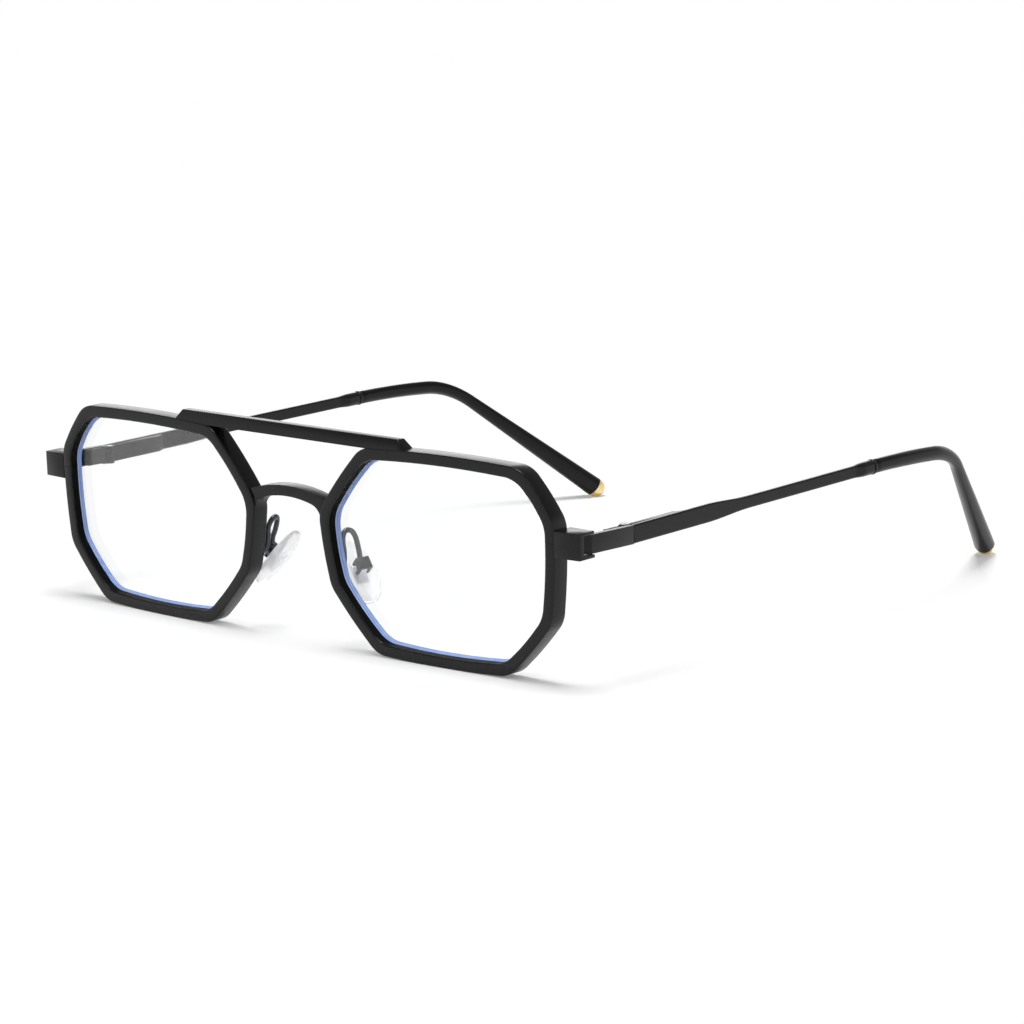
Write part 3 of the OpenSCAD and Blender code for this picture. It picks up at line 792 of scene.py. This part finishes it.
@dataclass(frozen=True)
class Lens:
    """A clear lens: two curved faces, and a rib on its edge that sits in the rim's groove."""

    side: Side
    curve: float = 500.0
    thickness: float = 1.8
    set_back: float = 1.5
    gap: float = 0.05
    groove_depth: float = 0.6
    rib_front: float = 2.25
    rib_back: float = 3.15
    rib_margin: float = 0.04
    edge_bands: int = 6
    shares: tuple[float, ...] = (0.06, 0.2, 0.35, 0.5, 0.65, 0.8, 0.9, 0.983)

    def face_y(self, x: float, z: float, behind: float) -> float:
        """The y of a lens face that lies behind the front one by a distance.

        Args:
            x: Distance from the middle of the front.
            z: Height.
            behind: Depth behind the front face.

        Returns:
            The y.
        """
        middle = FRONT.middle
        turn = math.asin(middle.x / FRONT.front_curve)
        reach = FRONT.front_curve - self.set_back - self.curve
        centre_x = reach * math.sin(turn)
        centre_y = FRONT.front_y(0, 0) + FRONT.front_curve - reach * math.cos(turn)
        radius = self.curve - behind
        return centre_y - math.sqrt(radius**2 - (x - centre_x) ** 2 - (z - middle.y) ** 2)

    def face_loops(self, behind: float) -> list[list[Vector]]:
        """Loops over one lens face, from its middle to its edge.

        Args:
            behind: Depth behind the front face.

        Returns:
            The loops, in metres.
        """
        edge = FRONT.outline(FRONT.rim_face + self.gap)
        loops = []
        for share in (*self.shares, 1.0):
            flat = [mix(FRONT.middle, p, share) for p in edge]
            loops.append([FRONT.place(p.x, self.face_y(p.x, p.y, behind), p.y, self.side) for p in flat])
        return loops

    def rib_loops(self) -> list[list[Vector]]:
        """Loops round the rib, from the front of the lens to its back.

        Returns:
            The loops, in metres.
        """
        edge, top = FRONT.rim_face + self.gap, FRONT.rim_face - self.groove_depth + self.gap
        loops = []
        for inset, depth in ((edge, self.rib_front), (top, self.rib_front), (top, self.rib_back),
                             (edge, self.rib_back)):
            loop = []
            for p in FRONT.outline(inset):
                least = self.face_y(p.x, p.y, 0) + self.rib_margin
                most = self.face_y(p.x, p.y, self.thickness) - self.rib_margin
                y = max(least, min(most, FRONT.front_y(p.x, depth)))
                loop.append(FRONT.place(p.x, y, p.y, self.side))
            loops.append(loop)
        return loops

    def build(self, palette: Palette) -> None:
        """Builds the lens with its edge painted with the coating's blue-violet reflection.

        Args:
            palette: The finishes of the whole object.
        """
        bm = bmesh.new()
        front, back = self.face_loops(0), self.face_loops(self.thickness)
        bands = skin(bm, front + self.rib_loops() + back[::-1])
        edge = len(front) - 1
        # The edge bands take the painted blue-violet reflection of the coating.
        second_finish(bands[edge : edge + self.edge_bands])
        add_piece(f"{self.side.word}_lens", bm, "front", "lens", palette.lens, palette.lens_edge)


# Temples


@dataclass(frozen=True)
class TempleShape:
    """The path and the sections of one temple, in millimetres, measured back from the seam."""

    seam_y: float = 14.4
    lug_inset: float = 0.5
    toe: float = 0.7
    rise: float = 1.65
    strip: float = 1.1
    tall: float = 3.4
    slim: float = 2.3
    length: float = 69.4
    ring: float = 0.7
    ear_run: float = 19.6
    ear_sag: float = 5.7
    ear_radius: float = 18.6
    ear_angle: float = 44.4
    drop_turn: float = 28.5
    tip_rest: float = 0.85
    half_down: Point = (1.36, 1.12, 2.0)
    half_side: Point = (1.3, 1.35, 2.1)

    @property
    def tip_start(self) -> float:
        """Where the plastic starts, behind the ring."""
        return self.length + self.ring

    @property
    def bend_at(self) -> float:
        """Where the ear bend starts."""
        return self.tip_start + self.ear_run

    @property
    def ear_arc(self) -> float:
        """Length of the ear bend."""
        return self.ear_radius * math.radians(self.ear_angle - self.ear_sag)

    @property
    def sag_radius(self) -> float:
        """Radius of the gentle droop before the bend."""
        return self.ear_run / math.radians(self.ear_sag)

    @property
    def leg(self) -> float:
        """Length of the straight leg, which reaches the table.

        Returns:
            The leg's length.
        """
        sag, ear = math.radians(self.ear_sag), math.radians(self.ear_angle)
        rise, turn = math.radians(self.rise), math.cos(math.radians(self.drop_turn))
        run = self.tip_start + self.sag_radius * math.sin(sag) + self.ear_radius * (
            math.sin(ear) - math.sin(sag))
        fall = self.sag_radius * (1 - math.cos(sag)) + self.ear_radius * (math.cos(sag) - math.cos(ear))
        height = FRONT.end_mid_z + run * math.sin(rise) - turn * math.cos(rise) * fall - self.tip_rest
        return height / (turn * math.cos(rise) * math.sin(ear) - math.cos(ear) * math.sin(rise))

    @property
    def end(self) -> float:
        """Where the path ends, at the far side of the cap."""
        return self.bend_at + self.ear_arc + self.leg

    def turn(self, q: float) -> float:
        """Angle of the path at q, in radians below the blade's line.

        Args:
            q: Distance along the path.

        Returns:
            The angle.
        """
        if q < self.bend_at:
            return math.radians(self.ear_sag) * max(0.0, q - self.tip_start) / self.ear_run
        bent = math.radians(self.ear_sag) + (q - self.bend_at) / self.ear_radius
        return min(math.radians(self.ear_angle), bent)

    def point(self, q: float) -> Vector:
        """The path's point at q, in the temple's own frame.

        Args:
            q: Distance along the path.

        Returns:
            The point.
        """
        a, sag = self.turn(q), math.radians(self.ear_sag)
        b = min(a, sag)
        straight = max(0.0, q - self.bend_at - self.ear_arc)
        fall = (self.sag_radius * (1 - math.cos(b)) + self.ear_radius * (math.cos(b) - math.cos(a))
                + straight * math.sin(math.radians(self.ear_angle)))
        run = (min(q, self.tip_start) + self.sag_radius * math.sin(b)
               + self.ear_radius * (math.sin(a) - math.sin(b))
               + straight * math.cos(math.radians(self.ear_angle)))
        d = math.radians(self.drop_turn)
        return Vector((-self.strip / 2 - math.sin(d) * fall, run, -math.cos(d) * fall))

    def axes(self, q: float) -> tuple[Vector, Vector]:
        """The section's down and side axes at q.

        Args:
            q: Distance along the path.

        Returns:
            Both axes, each one long.
        """
        a, d = self.turn(q), math.radians(self.drop_turn)
        twist = -d * (1 - ease((q - self.length) / self.ear_run))
        down = Vector((-math.sin(d) * math.cos(a), -math.sin(a), -math.cos(d) * math.cos(a)))
        side = Vector((-math.cos(d), 0, math.sin(d)))
        return (down * math.cos(twist) + side * math.sin(twist),
                side * math.cos(twist) - down * math.sin(twist))

    def halves(self, q: float) -> Pair:
        """Half sizes of the tip at q, down and sideways.

        Args:
            q: Distance along the path.

        Returns:
            Both half sizes.
        """
        bent = ease((q - self.bend_at) / self.ear_arc)
        along = max(0.0, (q - self.bend_at - self.ear_arc) / self.leg)
        return tuple(mix(s[0], s[1], bent) + (s[2] - s[1]) * along
                     for s in (self.half_down, self.half_side))

    def place(self, p: Vector, side: Side) -> Vector:
        """A point of the temple's own frame in the part's frame, in metres.

        Args:
            p: The point.
            side: The temple's side.

        Returns:
            The point, moved.
        """
        moved = Matrix.Rotation(math.radians(self.toe), 3, "Z") @ (
            Matrix.Rotation(math.radians(self.rise), 3, "X") @ p)
        moved += Vector((FRONT.overall_width / 2 - self.lug_inset, self.seam_y, FRONT.end_mid_z))
        return FRONT.place(moved.x, moved.y, moved.z, side, lean=False)


TEMPLE = TempleShape()


@dataclass(frozen=True)
class Temple:
    """One temple: blade with collar, ring, plastic tip and gold cap.

    The pairs in collar_end, ring_bulge, tip_mouth and cap_seam are a distance along the path
    and how much the section shrinks there, or grows in ring_bulge.
    """

    side: Side
    body_gap: float = 0.03
    hinge_edge: float = 0.1
    blade_edge: float = 0.4
    blade_chamfer: float = 0.06
    taper: Pair = (0.3, 0.47)
    taper_steps: int = 10
    collar_run: float = 5.6
    collar_swell: float = 3.2
    collar_steps: int = 8
    collar_slimmer: float = 0.1
    collar_edge: float = 1.15
    collar_end: tuple[Pair, ...] = ((-0.1, 0.0), (0.0, 0.08))
    ring_bulge: tuple[Pair, ...] = (
        (0.0, -0.02), (0.06, 0.05), (0.15, 0.1), (0.35, 0.13), (0.55, 0.1), (0.64, 0.05), (0.7, -0.02),
    )
    tip_mouth: tuple[Pair, ...] = ((0.0, 0.15), (0.08, 0.05), (0.25, 0.0))
    run_steps: int = 12
    bend_steps: int = 16
    cap_length: float = 2.3
    cap_round: float = 1.1
    cap_seam: tuple[Pair, ...] = ((0.0, 0.1), (0.12, 0.1), (0.14, 0.0))
    cap_arc: Pair = (12.0, 90.0)
    cap_steps: int = 8
    roundness: float = 2.0
    squareness: float = 2.35
    square_run: float = 12.0
    least_flat: float = 0.001
    around: int = 48

    @property
    def body(self) -> str:
        """The CAD body that the temple is."""
        return f"{self.side.word}_temple"

    def oval(self, q: float, down: float, side: float, power: float) -> list[Vector]:
        """A loop round the path at q, an ellipse with somewhat square shoulders.

        Args:
            q: Distance along the path.
            down: Half size downwards.
            side: Half size sideways.
            power: 2 for an ellipse, more for a squarer loop.

        Returns:
            The loop, in metres.
        """
        centre, (e1, e2) = TEMPLE.point(q), TEMPLE.axes(q)
        loop = []
        for k in range(self.around):
            a = 2 * math.pi * k / self.around
            c, s = math.cos(a), math.sin(a)
            u = math.copysign(abs(c) ** (2 / power), c) * down
            v = math.copysign(abs(s) ** (2 / power), s) * side
            loop.append(TEMPLE.place(centre + e1 * u + e2 * v, self.side))
        return loop

    def sleeve(self, stops: list[Pair]) -> list[list[Vector]]:
        """Loops of the tip and its cap at places on the path, each with how much it shrinks.

        Args:
            stops: Pairs of distance along the path and shrinkage.

        Returns:
            The loops, in metres.
        """
        loops = []
        for q, shrink in stops:
            down, side = TEMPLE.halves(q)
            turned_square = ease((q - TEMPLE.tip_start) / self.square_run)
            power = mix(self.roundness, self.squareness, turned_square)
            loops.append(self.oval(q, down - shrink, side - shrink, power))
        return loops

    def rounded_box(self, q: float, high: float, wide: float, radius: float) -> list[Vector]:
        """A loop round the blade at q: a box with rounded corners, as four equal quarters.

        Args:
            q: Distance along the path.
            high: Half height.
            wide: Half width.
            radius: Radius of the corners.

        Returns:
            The loop, in metres.
        """
        r = min(radius, high - self.least_flat, wide - self.least_flat)
        loop = []
        quarter = self.around // 4
        for sx, sz, start in ((1, 1, 0), (-1, 1, 90), (-1, -1, 180), (1, -1, 270)):
            for c, s in arc(start, start + 90, quarter - 1):
                x = -TEMPLE.strip / 2 + sx * (wide - r) + r * c
                z = sz * (high - r) + r * s
                loop.append(TEMPLE.place(Vector((x, q, z)), self.side))
        return loop

    def blade(self, palette: Palette) -> None:
        """Builds the strip that tapers and swells into its round collar.

        Args:
            palette: The finishes of the whole object.
        """
        t = TEMPLE
        taper_from, taper_to = (t.length * share for share in self.taper)
        collar_from = t.length - self.collar_run
        collar_to = collar_from + self.collar_swell
        chamfer = self.blade_chamfer
        stops = [(self.body_gap, chamfer), (self.body_gap + chamfer, 0.0)]
        stops += [(q, 0.0) for q in evenly(taper_from, taper_to, self.taper_steps)]
        stops += [(q, 0.0) for q in evenly(collar_from, collar_to, self.collar_steps)]
        stops += [(t.length + q, shrink) for q, shrink in self.collar_end]
        loops = []
        for q, shrink in stops:
            high = mix(t.tall, t.slim, ease((q - taper_from) / (taper_to - taper_from))) / 2
            swell = ease((q - collar_from) / self.collar_swell)
            half_high = mix(high, t.half_down[0], swell) - shrink
            half_wide = mix(t.strip / 2, t.half_side[0] - self.collar_slimmer, swell) - shrink
            radius = mix(self.blade_edge, self.collar_edge, swell)
            loops.append(self.rounded_box(q, half_high, half_wide, radius))
        bm = bmesh.new()
        skin(bm, loops)
        add_piece(f"{self.side.word}_temple_blade", bm, self.body, "black_metal", palette.lacquer)

    def ring(self, palette: Palette) -> None:
        """Builds the thin ring between the collar and the tip.

        Args:
            palette: The finishes of the whole object.
        """
        t = TEMPLE
        loops = [
            self.oval(t.length + q, t.half_down[0] + grow, t.half_side[0] + grow, self.roundness)
            for q, grow in self.ring_bulge
        ]
        bm = bmesh.new()
        skin(bm, loops)
        add_piece(f"{self.side.word}_tip_ring", bm, self.body, "black_metal", palette.lacquer)

    def tip(self, palette: Palette) -> None:
        """Builds the plastic tip along the ear path.

        Args:
            palette: The finishes of the whole object.
        """
        t = TEMPLE
        last = t.end - self.cap_length
        bent = t.bend_at + t.ear_arc
        stops = [(t.tip_start + q, shrink) for q, shrink in self.tip_mouth]
        for start, end, steps in ((t.tip_start, t.bend_at, self.run_steps),
                                  (t.bend_at, bent, self.bend_steps), (bent, last, self.bend_steps)):
            stops += [(q, 0.0) for q in evenly(start, end, steps)[1:]]
        bm = bmesh.new()
        skin(bm, self.sleeve(stops))
        add_piece(f"{self.side.word}_temple_tip", bm, self.body, "tip_plastic", palette.acetate)

    def cap(self, palette: Palette) -> None:
        """Builds the gold cap with its dark seam, flat where it stands on the table.

        Args:
            palette: The finishes of the whole object.
        """
        last = TEMPLE.end - self.cap_length
        stops = [(last + q, shrink) for q, shrink in self.cap_seam]
        stops += [(last + self.cap_length * s, self.cap_round * (1 - c))
                  for c, s in arc(*self.cap_arc, self.cap_steps)]
        bm = bmesh.new()
        bands = skin(bm, self.sleeve(stops))
        second_finish([bands[0], bands[1], bands[-2]])
        cut_below_table(bm)
        add_piece(f"{self.side.word}_tip_cap", bm, self.body, "gold_cap", palette.gold, palette.seam)

    def build(self, palette: Palette) -> None:
        """Builds the whole temple.

        Args:
            palette: The finishes of the whole object.
        """
        self.blade(palette)
        self.ring(palette)
        self.tip(palette)
        self.cap(palette)
        word = self.side.word
        softened(f"{word}_hinge_back", self.hinge_edge, palette.lacquer, self.body, "black_metal", 2)
        dress(f"{word}_temple_core", palette.steel)


def dress(node: str, material: Material) -> None:
    """Gives a CAD node its material.

    Args:
        node: The CAD node.
        material: Its only material.
    """
    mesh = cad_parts[node].data
    mesh.materials.clear()
    mesh.materials.append(material)


@dataclass(frozen=True)
class EndPiece:
    """One end piece: cover, lug, closing block with its screw, and the front hinge leaf."""

    side: Side
    recess: float = 0.75
    recess_from: float = -67.3
    recess_to: float = -66.5
    outer_x: float = 69.0
    cover_edge: float = 0.12
    lug_edge: float = 0.08
    edge: float = 0.1
    screw_edge: float = 0.05

    def sink(self, bm: BMesh) -> None:
        """Sets the lug's outer face back where it lies in the cover's channel.

        Args:
            bm: The lug's merged mesh.
        """
        for y in (self.recess_from, self.recess_to):
            bmesh.ops.bisect_plane(bm, geom=[*bm.verts, *bm.edges, *bm.faces], dist=CUT_DIST,
                                   plane_co=(0, y * MM, 0), plane_no=(0, 1, 0))
        for vert in bm.verts:
            in_channel = vert.co.y < self.recess_from * MM + EDGE_TOLERANCE
            if in_channel and abs(vert.co.x) > self.outer_x * MM:
                vert.co.x -= self.side.value * self.recess * MM

    def build(self, palette: Palette) -> None:
        """Builds the end piece from the CAD nodes, with softened edges.

        Args:
            palette: The finishes of the whole object.
        """
        word = self.side.word
        for part, width, reshape in (
            ("end_cover", self.cover_edge, None), ("end_lug", self.lug_edge, self.sink),
            ("lock_upper", self.edge, None), ("lock_lower", self.edge, None),
            ("hinge_front", self.edge, None),
        ):
            softened(f"{word}_{part}", width, palette.lacquer, "front", "black_metal", 2,
                     reshape=reshape)
        for part in ("lock_screw", "hinge_screw"):
            softened(f"{word}_{part}", self.screw_edge, palette.steel, "front", "bare_steel", 2)


@dataclass(frozen=True)
class Bars:
    """The straight brow bar and the arched lower bridge."""

    foot_z: float = 39.3
    foot_from: float = 20.0
    sunk: float = 0.4
    bar_edge: float = 0.22
    bar_angle: float = 20.0
    bridge_edge: float = 0.35
    bridge_angle: float = 40.0

    def sink(self, bm: BMesh) -> None:
        """Runs the bar's feet down over the rims' rounded edges, as the solder does.

        Args:
            bm: The bar's merged mesh.
        """
        for vert in bm.verts:
            if vert.co.z < self.foot_z * MM and abs(vert.co.x) > self.foot_from * MM:
                vert.co.z -= self.sunk * MM

    def build(self, palette: Palette) -> None:
        """Builds both bars with softened edges.

        Args:
            palette: The finishes of the whole object.
        """
        lacquer = palette.lacquer
        softened("brow_bar", self.bar_edge, lacquer, "front", "black_metal", 3, self.bar_angle,
                 self.sink)
        softened("nose_bridge", self.bridge_edge, lacquer, "front", "black_metal", 3,
                 self.bridge_angle)


# Nose pads


@dataclass(frozen=True)
class PadFrame:
    """The pad's own axes on the wearer's left, in millimetres."""

    middle: Point = (10.9, 4.85, 13.3)
    along: Point = (0.63, -0.154, -0.761)
    guide: Point = (0.3, 0.95, 0.05)

    def point(self, a: float, b: float, c: float) -> Vector:
        """The drawn point at a along, b across and c out of the pad.

        Args:
            a: Along the pad, downwards.
            b: Across the pad.
            c: Out of the pad.

        Returns:
            The point.
        """
        along = Vector(self.along).normalized()
        out = along.cross(Vector(self.guide)).normalized()
        return Vector(self.middle) + along * a + out.cross(along) * b + out * c


PAD = PadFrame()


@dataclass(frozen=True)
class NosePad:
    """One nose pad with its arm, box, pin and core."""

    side: Side
    length: float = 13.6
    width: float = 7.2
    thickness: float = 2.3
    egg: float = 0.16
    edge_share: float = 0.32
    around: int = 64
    levels: int = 14
    wire: float = 1.0
    wire_around: int = 20
    wire_end: Point = (-1.05, 0.0, 2.6)
    wire_plane: Point = (0.93, -0.05, 0.36)
    foot_swell: float = 0.22
    steps: int = 8
    box_edge: float = 0.22
    metal_edge: float = 0.06
    knots: tuple[Point, ...] = (
        (11.05, 0.2, 14.9), (10.85, 1.15, 15.2), (10.6, 1.7, 16.3), (10.45, 1.8, 17.8),
        (10.25, 1.75, 19.5), (9.98, 2.35, 20.85), (9.98, 3.3, 21.3), (10.35, 4.15, 20.9),
        (10.85, 4.5, 19.8), (11.35, 4.5, 18.4), (11.85, 4.35, 17.1),
    )

    def place(self, p: Vector) -> Vector:
        """A drawn point in the part's frame, in metres."""
        return FRONT.place(p.x, p.y, p.z, self.side, lean=False)

    def pad(self, palette: Palette) -> None:
        """Builds the clear drop, thinner at its edge.

        Args:
            palette: The finishes of the whole object.
        """
        loops = []
        for c, s in arc(-90, 90, self.levels):
            share = 1 - self.edge_share * (1 - c)
            loop = []
            for k in range(self.around):
                a = 2 * math.pi * k / self.around
                x = self.length / 2 * math.cos(a) * share
                y = self.width / 2 * math.sin(a) * (1 + self.egg * math.cos(a)) * share
                loop.append(self.place(PAD.point(x, y, self.thickness / 2 * s)))
            loops.append(loop)
        bm = bmesh.new()
        skin(bm, loops)
        add_piece(f"{self.side.word}_nose_pad", bm, f"{self.side.word}_pad", "clear_pad", palette.pad)

    def wire_point(self, knots: list[Vector], k: float) -> Vector:
        """The point of a smooth curve through the knots at a count k from its start.

        Args:
            knots: The points that the curve passes.
            k: How many knots along, with a fraction.

        Returns:
            The point.
        """
        i = min(int(k), len(knots) - 2)
        t = k - i
        a, b, c, d = (knots[max(0, min(len(knots) - 1, i + j))] for j in (-1, 0, 1, 2))
        return 0.5 * (2 * b + (c - a) * t + (2 * a - 5 * b + 4 * c - d) * t**2
                      + (3 * b - a - 3 * c + d) * t**3)

    def arm(self, palette: Palette) -> None:
        """Builds the wire, with a small solder foot on the rim.

        Args:
            palette: The finishes of the whole object.
        """
        knots = [Vector(k) for k in self.knots] + [PAD.point(*self.wire_end)]
        count = (len(knots) - 1) * self.steps
        path = [self.wire_point(knots, k / self.steps) for k in range(count + 1)]
        plane = Vector(self.wire_plane).normalized()
        loops = []
        for k, p in enumerate(path):
            along = (path[min(count, k + 1)] - path[max(0, k - 1)]).normalized()
            e1 = plane.cross(along).normalized()
            e2 = along.cross(e1)
            radius = self.wire / 2 + self.foot_swell * (1 - ease(k / self.steps))
            loops.append([self.place(p + (e1 * c + e2 * s) * radius)
                          for c, s in arc(0, 360, self.wire_around)[:-1]])
        bm = bmesh.new()
        skin(bm, loops)
        add_piece(f"{self.side.word}_pad_arm", bm, "front", "black_metal", palette.gunmetal)

    def build(self, palette: Palette) -> None:
        """Builds pad, arm, box, pin and core.

        Args:
            palette: The finishes of the whole object.
        """
        word = self.side.word
        self.pad(palette)
        self.arm(palette)
        softened(f"{word}_pad_box", self.box_edge, palette.gunmetal, "front", "black_metal", 3)
        softened(f"{word}_pad_screw", self.metal_edge, palette.steel, "front", "bare_steel", 2)
        softened(f"{word}_pad_core", self.metal_edge, palette.pale, f"{word}_pad", "bare_steel", 2)


# The studio


@dataclass(frozen=True)
class Lamp:
    """A square soft lamp: its place, aim and side in metres, and its power in watts."""

    name: str
    place: Point
    aim: Point
    size: float
    power: float

    def build(self) -> None:
        """Hangs the lamp, turned to what it aims at."""
        data = bpy.data.lights.new(self.name, "AREA")
        data.shape = "SQUARE"
        data.size = self.size
        data.energy = self.power
        lamp = bpy.data.objects.new(self.name, data)
        turn = (Vector(self.place) - Vector(self.aim)).to_track_quat("Z", "Y")
        lamp.matrix_world = Matrix.Translation(self.place) @ turn.to_matrix().to_4x4()
        bpy.context.scene.collection.objects.link(lamp)


@dataclass(frozen=True)
class Studio:
    """A white table, soft lamps and the camera of the photograph.

    The camera's sizes are in millimetres and pixels, the table's and the lamps' in metres. The
    strength is that of the surrounding on matt surfaces. The ceiling is where its gloss turns
    grey, as heights from 0 to 1. Round the feet, out to foot_shadow, the table's own light
    rises through foot_glow, and over bare_table it rises to all of it.
    """

    azimuth: float = 42.83
    elevation: float = 10.71
    roll: float = -1.0
    distance: float = 783.2
    focal_px: float = 4136.9
    target: Point = (16.84, 40.0, 20.0)
    centre_px: Pair = (513.4, 510.7)
    picture_px: int = 1024
    sensor_mm: float = 36.0
    clip: Pair = (0.01, 100.0)
    strength: float = 0.46
    ceiling: Pair = (0.24, 0.55)
    ceiling_shade: float = 0.7
    floor_size: float = 12.0
    table_white: tuple[float, float, float, float] = (0.92, 0.92, 0.92, 1.0)
    feet: tuple[Point, ...] = ((0.037, 0.07, 0.0), (0.0525, 0.0716, 0.0))
    foot_shadow: Pair = (0.012, 0.042)
    foot_glow: Pair = (0.18, 0.95)
    bare_table: Pair = (0.12, 0.4)
    lamps: tuple[Lamp, ...] = (
        Lamp("top_softbox", (-0.03, -0.03, 1.1), (0.0, 0.0, 0.0), 0.4, 9.1),
        Lamp("back_softbox", (-0.95, 1.05, 0.42), (0.0, 0.0, 0.02), 0.6, 1.6),
        Lamp("front_softbox", (0.51, -0.5, 0.74), (0.0, 0.0, 0.02), 0.12, 0.8),
    )

    def camera(self) -> None:
        """Sets the camera at the photograph's viewing angle."""
        a, e, r = (math.radians(x) for x in (self.azimuth, self.elevation, self.roll))
        back = Vector((math.sin(a) * math.cos(e), -math.cos(a) * math.cos(e), math.sin(e)))
        right = (-back).cross(Vector((0, 0, 1))).normalized()
        up = right.cross(-back)
        turned_right = right * math.cos(r) + up * math.sin(r)
        turned_up = up * math.cos(r) - right * math.sin(r)
        place = (Vector(self.target) - Vector((0, MIDDLE_Y, 0)) + back * self.distance) * MM
        data = bpy.data.cameras.new("camera")
        data.sensor_width = self.sensor_mm
        data.lens = self.focal_px * data.sensor_width / self.picture_px
        half = self.picture_px / 2
        data.shift_x = (half - self.centre_px[0]) / self.picture_px
        data.shift_y = (self.centre_px[1] - half) / self.picture_px
        data.clip_start, data.clip_end = self.clip
        camera = bpy.data.objects.new("camera", data)
        camera.matrix_world = Matrix.Translation(place) @ Matrix(
            (turned_right, turned_up, back)).transposed().to_4x4()
        bpy.context.scene.collection.objects.link(camera)
        bpy.context.scene.camera = camera

    def seen_directly(self, tree: NodeTree) -> NodeSocket:
        """One for camera, glossy and transmission rays, so that metal and glass show white too.

        Args:
            tree: The material's or the world's tree.

        Returns:
            The value's socket.
        """
        path = add_node(tree, "ShaderNodeLightPath")
        seen = path.outputs["Is Camera Ray"]
        for ray in ("Is Glossy Ray", "Is Transmission Ray"):
            both = add_node(tree, "ShaderNodeMath", {0: seen, 1: path.outputs[ray]}, operation="MAXIMUM")
            seen = both.outputs[0]
        return seen

    def world(self) -> None:
        """A soft white surrounding, seen as plain white, with a greyer ceiling in the gloss."""
        world = bpy.data.worlds.new("soft_white")
        world.use_nodes = True
        tree = world.node_tree
        tree.nodes.clear()
        level = add_node(
            tree, "ShaderNodeMapRange",
            {"Value": self.seen_directly(tree), "To Min": self.strength, "To Max": 1.0})
        look = add_node(tree, "ShaderNodeTexCoord").outputs["Generated"]
        height = add_node(tree, "ShaderNodeSeparateXYZ", {0: look})
        ceiling = add_node(
            tree, "ShaderNodeMapRange",
            {"Value": height.outputs["Z"], "From Min": self.ceiling[0], "From Max": self.ceiling[1],
             "To Min": 0.0, "To Max": self.ceiling_shade})
        path = add_node(tree, "ShaderNodeLightPath")
        shade = add_node(
            tree, "ShaderNodeMath", {0: ceiling.outputs["Result"], 1: path.outputs["Is Glossy Ray"]},
            operation="MULTIPLY")
        left = add_node(tree, "ShaderNodeMath", {0: 1.0, 1: shade.outputs[0]}, operation="SUBTRACT")
        level = add_node(
            tree, "ShaderNodeMath", {0: level.outputs["Result"], 1: left.outputs[0]},
            operation="MULTIPLY")
        ground = add_node(tree, "ShaderNodeBackground", {"Color": WHITE, "Strength": level.outputs[0]})
        add_node(tree, "ShaderNodeOutputWorld", {"Surface": ground.outputs["Background"]})
        bpy.context.scene.world = world

    def shine(self, tree: NodeTree) -> NodeSocket:
        """How much of its own light the table shows: least round the feet, all of it far away.

        Args:
            tree: The table's tree.

        Returns:
            The value's socket.
        """
        place = add_node(tree, "ShaderNodeTexCoord").outputs["Object"]
        mirrored = add_node(tree, "ShaderNodeVectorMath", {0: place}, operation="ABSOLUTE")
        near = [
            add_node(tree, "ShaderNodeVectorMath", {0: mirrored.outputs["Vector"], 1: foot},
                     operation="DISTANCE").outputs["Value"]
            for foot in self.feet
        ]
        nearest = add_node(tree, "ShaderNodeMath", {0: near[0], 1: near[1]}, operation="MINIMUM")
        away = add_node(tree, "ShaderNodeVectorMath", {0: place}, operation="LENGTH")
        round_feet, far = (
            add_node(tree, "ShaderNodeMapRange",
                     {"Value": gap, "From Min": reach[0], "From Max": reach[1], "To Min": glow[0],
                      "To Max": glow[1]}).outputs["Result"]
            for gap, reach, glow in ((nearest.outputs[0], self.foot_shadow, self.foot_glow),
                                     (away.outputs["Value"], self.bare_table, (0.0, 1.0)))
        )
        share = add_node(tree, "ShaderNodeMath", {0: round_feet, 1: far}, operation="MAXIMUM")
        return add_node(
            tree, "ShaderNodeMath", {0: self.seen_directly(tree), 1: share.outputs[0]},
            operation="MULTIPLY").outputs[0]

    def floor(self) -> None:
        """A white table top that keeps the object's shadow, most of all round its feet."""
        bm = bmesh.new()
        bmesh.ops.create_grid(bm, x_segments=1, y_segments=1, size=self.floor_size / 2)
        mesh = bpy.data.meshes.new("table_top")
        bm.to_mesh(mesh)
        bm.free()
        material = bpy.data.materials.new("white_table")
        material.use_nodes = True
        tree = material.node_tree
        tree.nodes.clear()
        matt = add_node(tree, "ShaderNodeBsdfDiffuse", {"Color": self.table_white})
        lit = add_node(tree, "ShaderNodeEmission", {"Color": WHITE, "Strength": 1.0})
        both = add_node(
            tree, "ShaderNodeMixShader",
            {0: self.shine(tree), 1: matt.outputs[0], 2: lit.outputs[0]})
        add_node(tree, "ShaderNodeOutputMaterial", {"Surface": both.outputs[0]})
        mesh.materials.append(material)
        table = bpy.data.objects.new("table_top", mesh)
        bpy.context.scene.collection.objects.link(table)

    def build(self) -> None:
        """Builds the studio."""
        self.world()
        self.floor()
        for lamp in self.lamps:
            lamp.build()
        self.camera()
        bpy.context.scene.view_settings.view_transform = "Standard"


def main() -> None:
    """Builds the object and its studio, and reports each piece."""
    logging.basicConfig(level=logging.INFO, format="%(message)s")
    palette = Palette.build()
    for side in Side:
        Rim(side).build(palette)
        Lens(side).build(palette)
        EndPiece(side).build(palette)
        Temple(side).build(palette)
        NosePad(side).build(palette)
    Bars().build(palette)
    Studio().build()


if __name__ == "__main__":
    main()
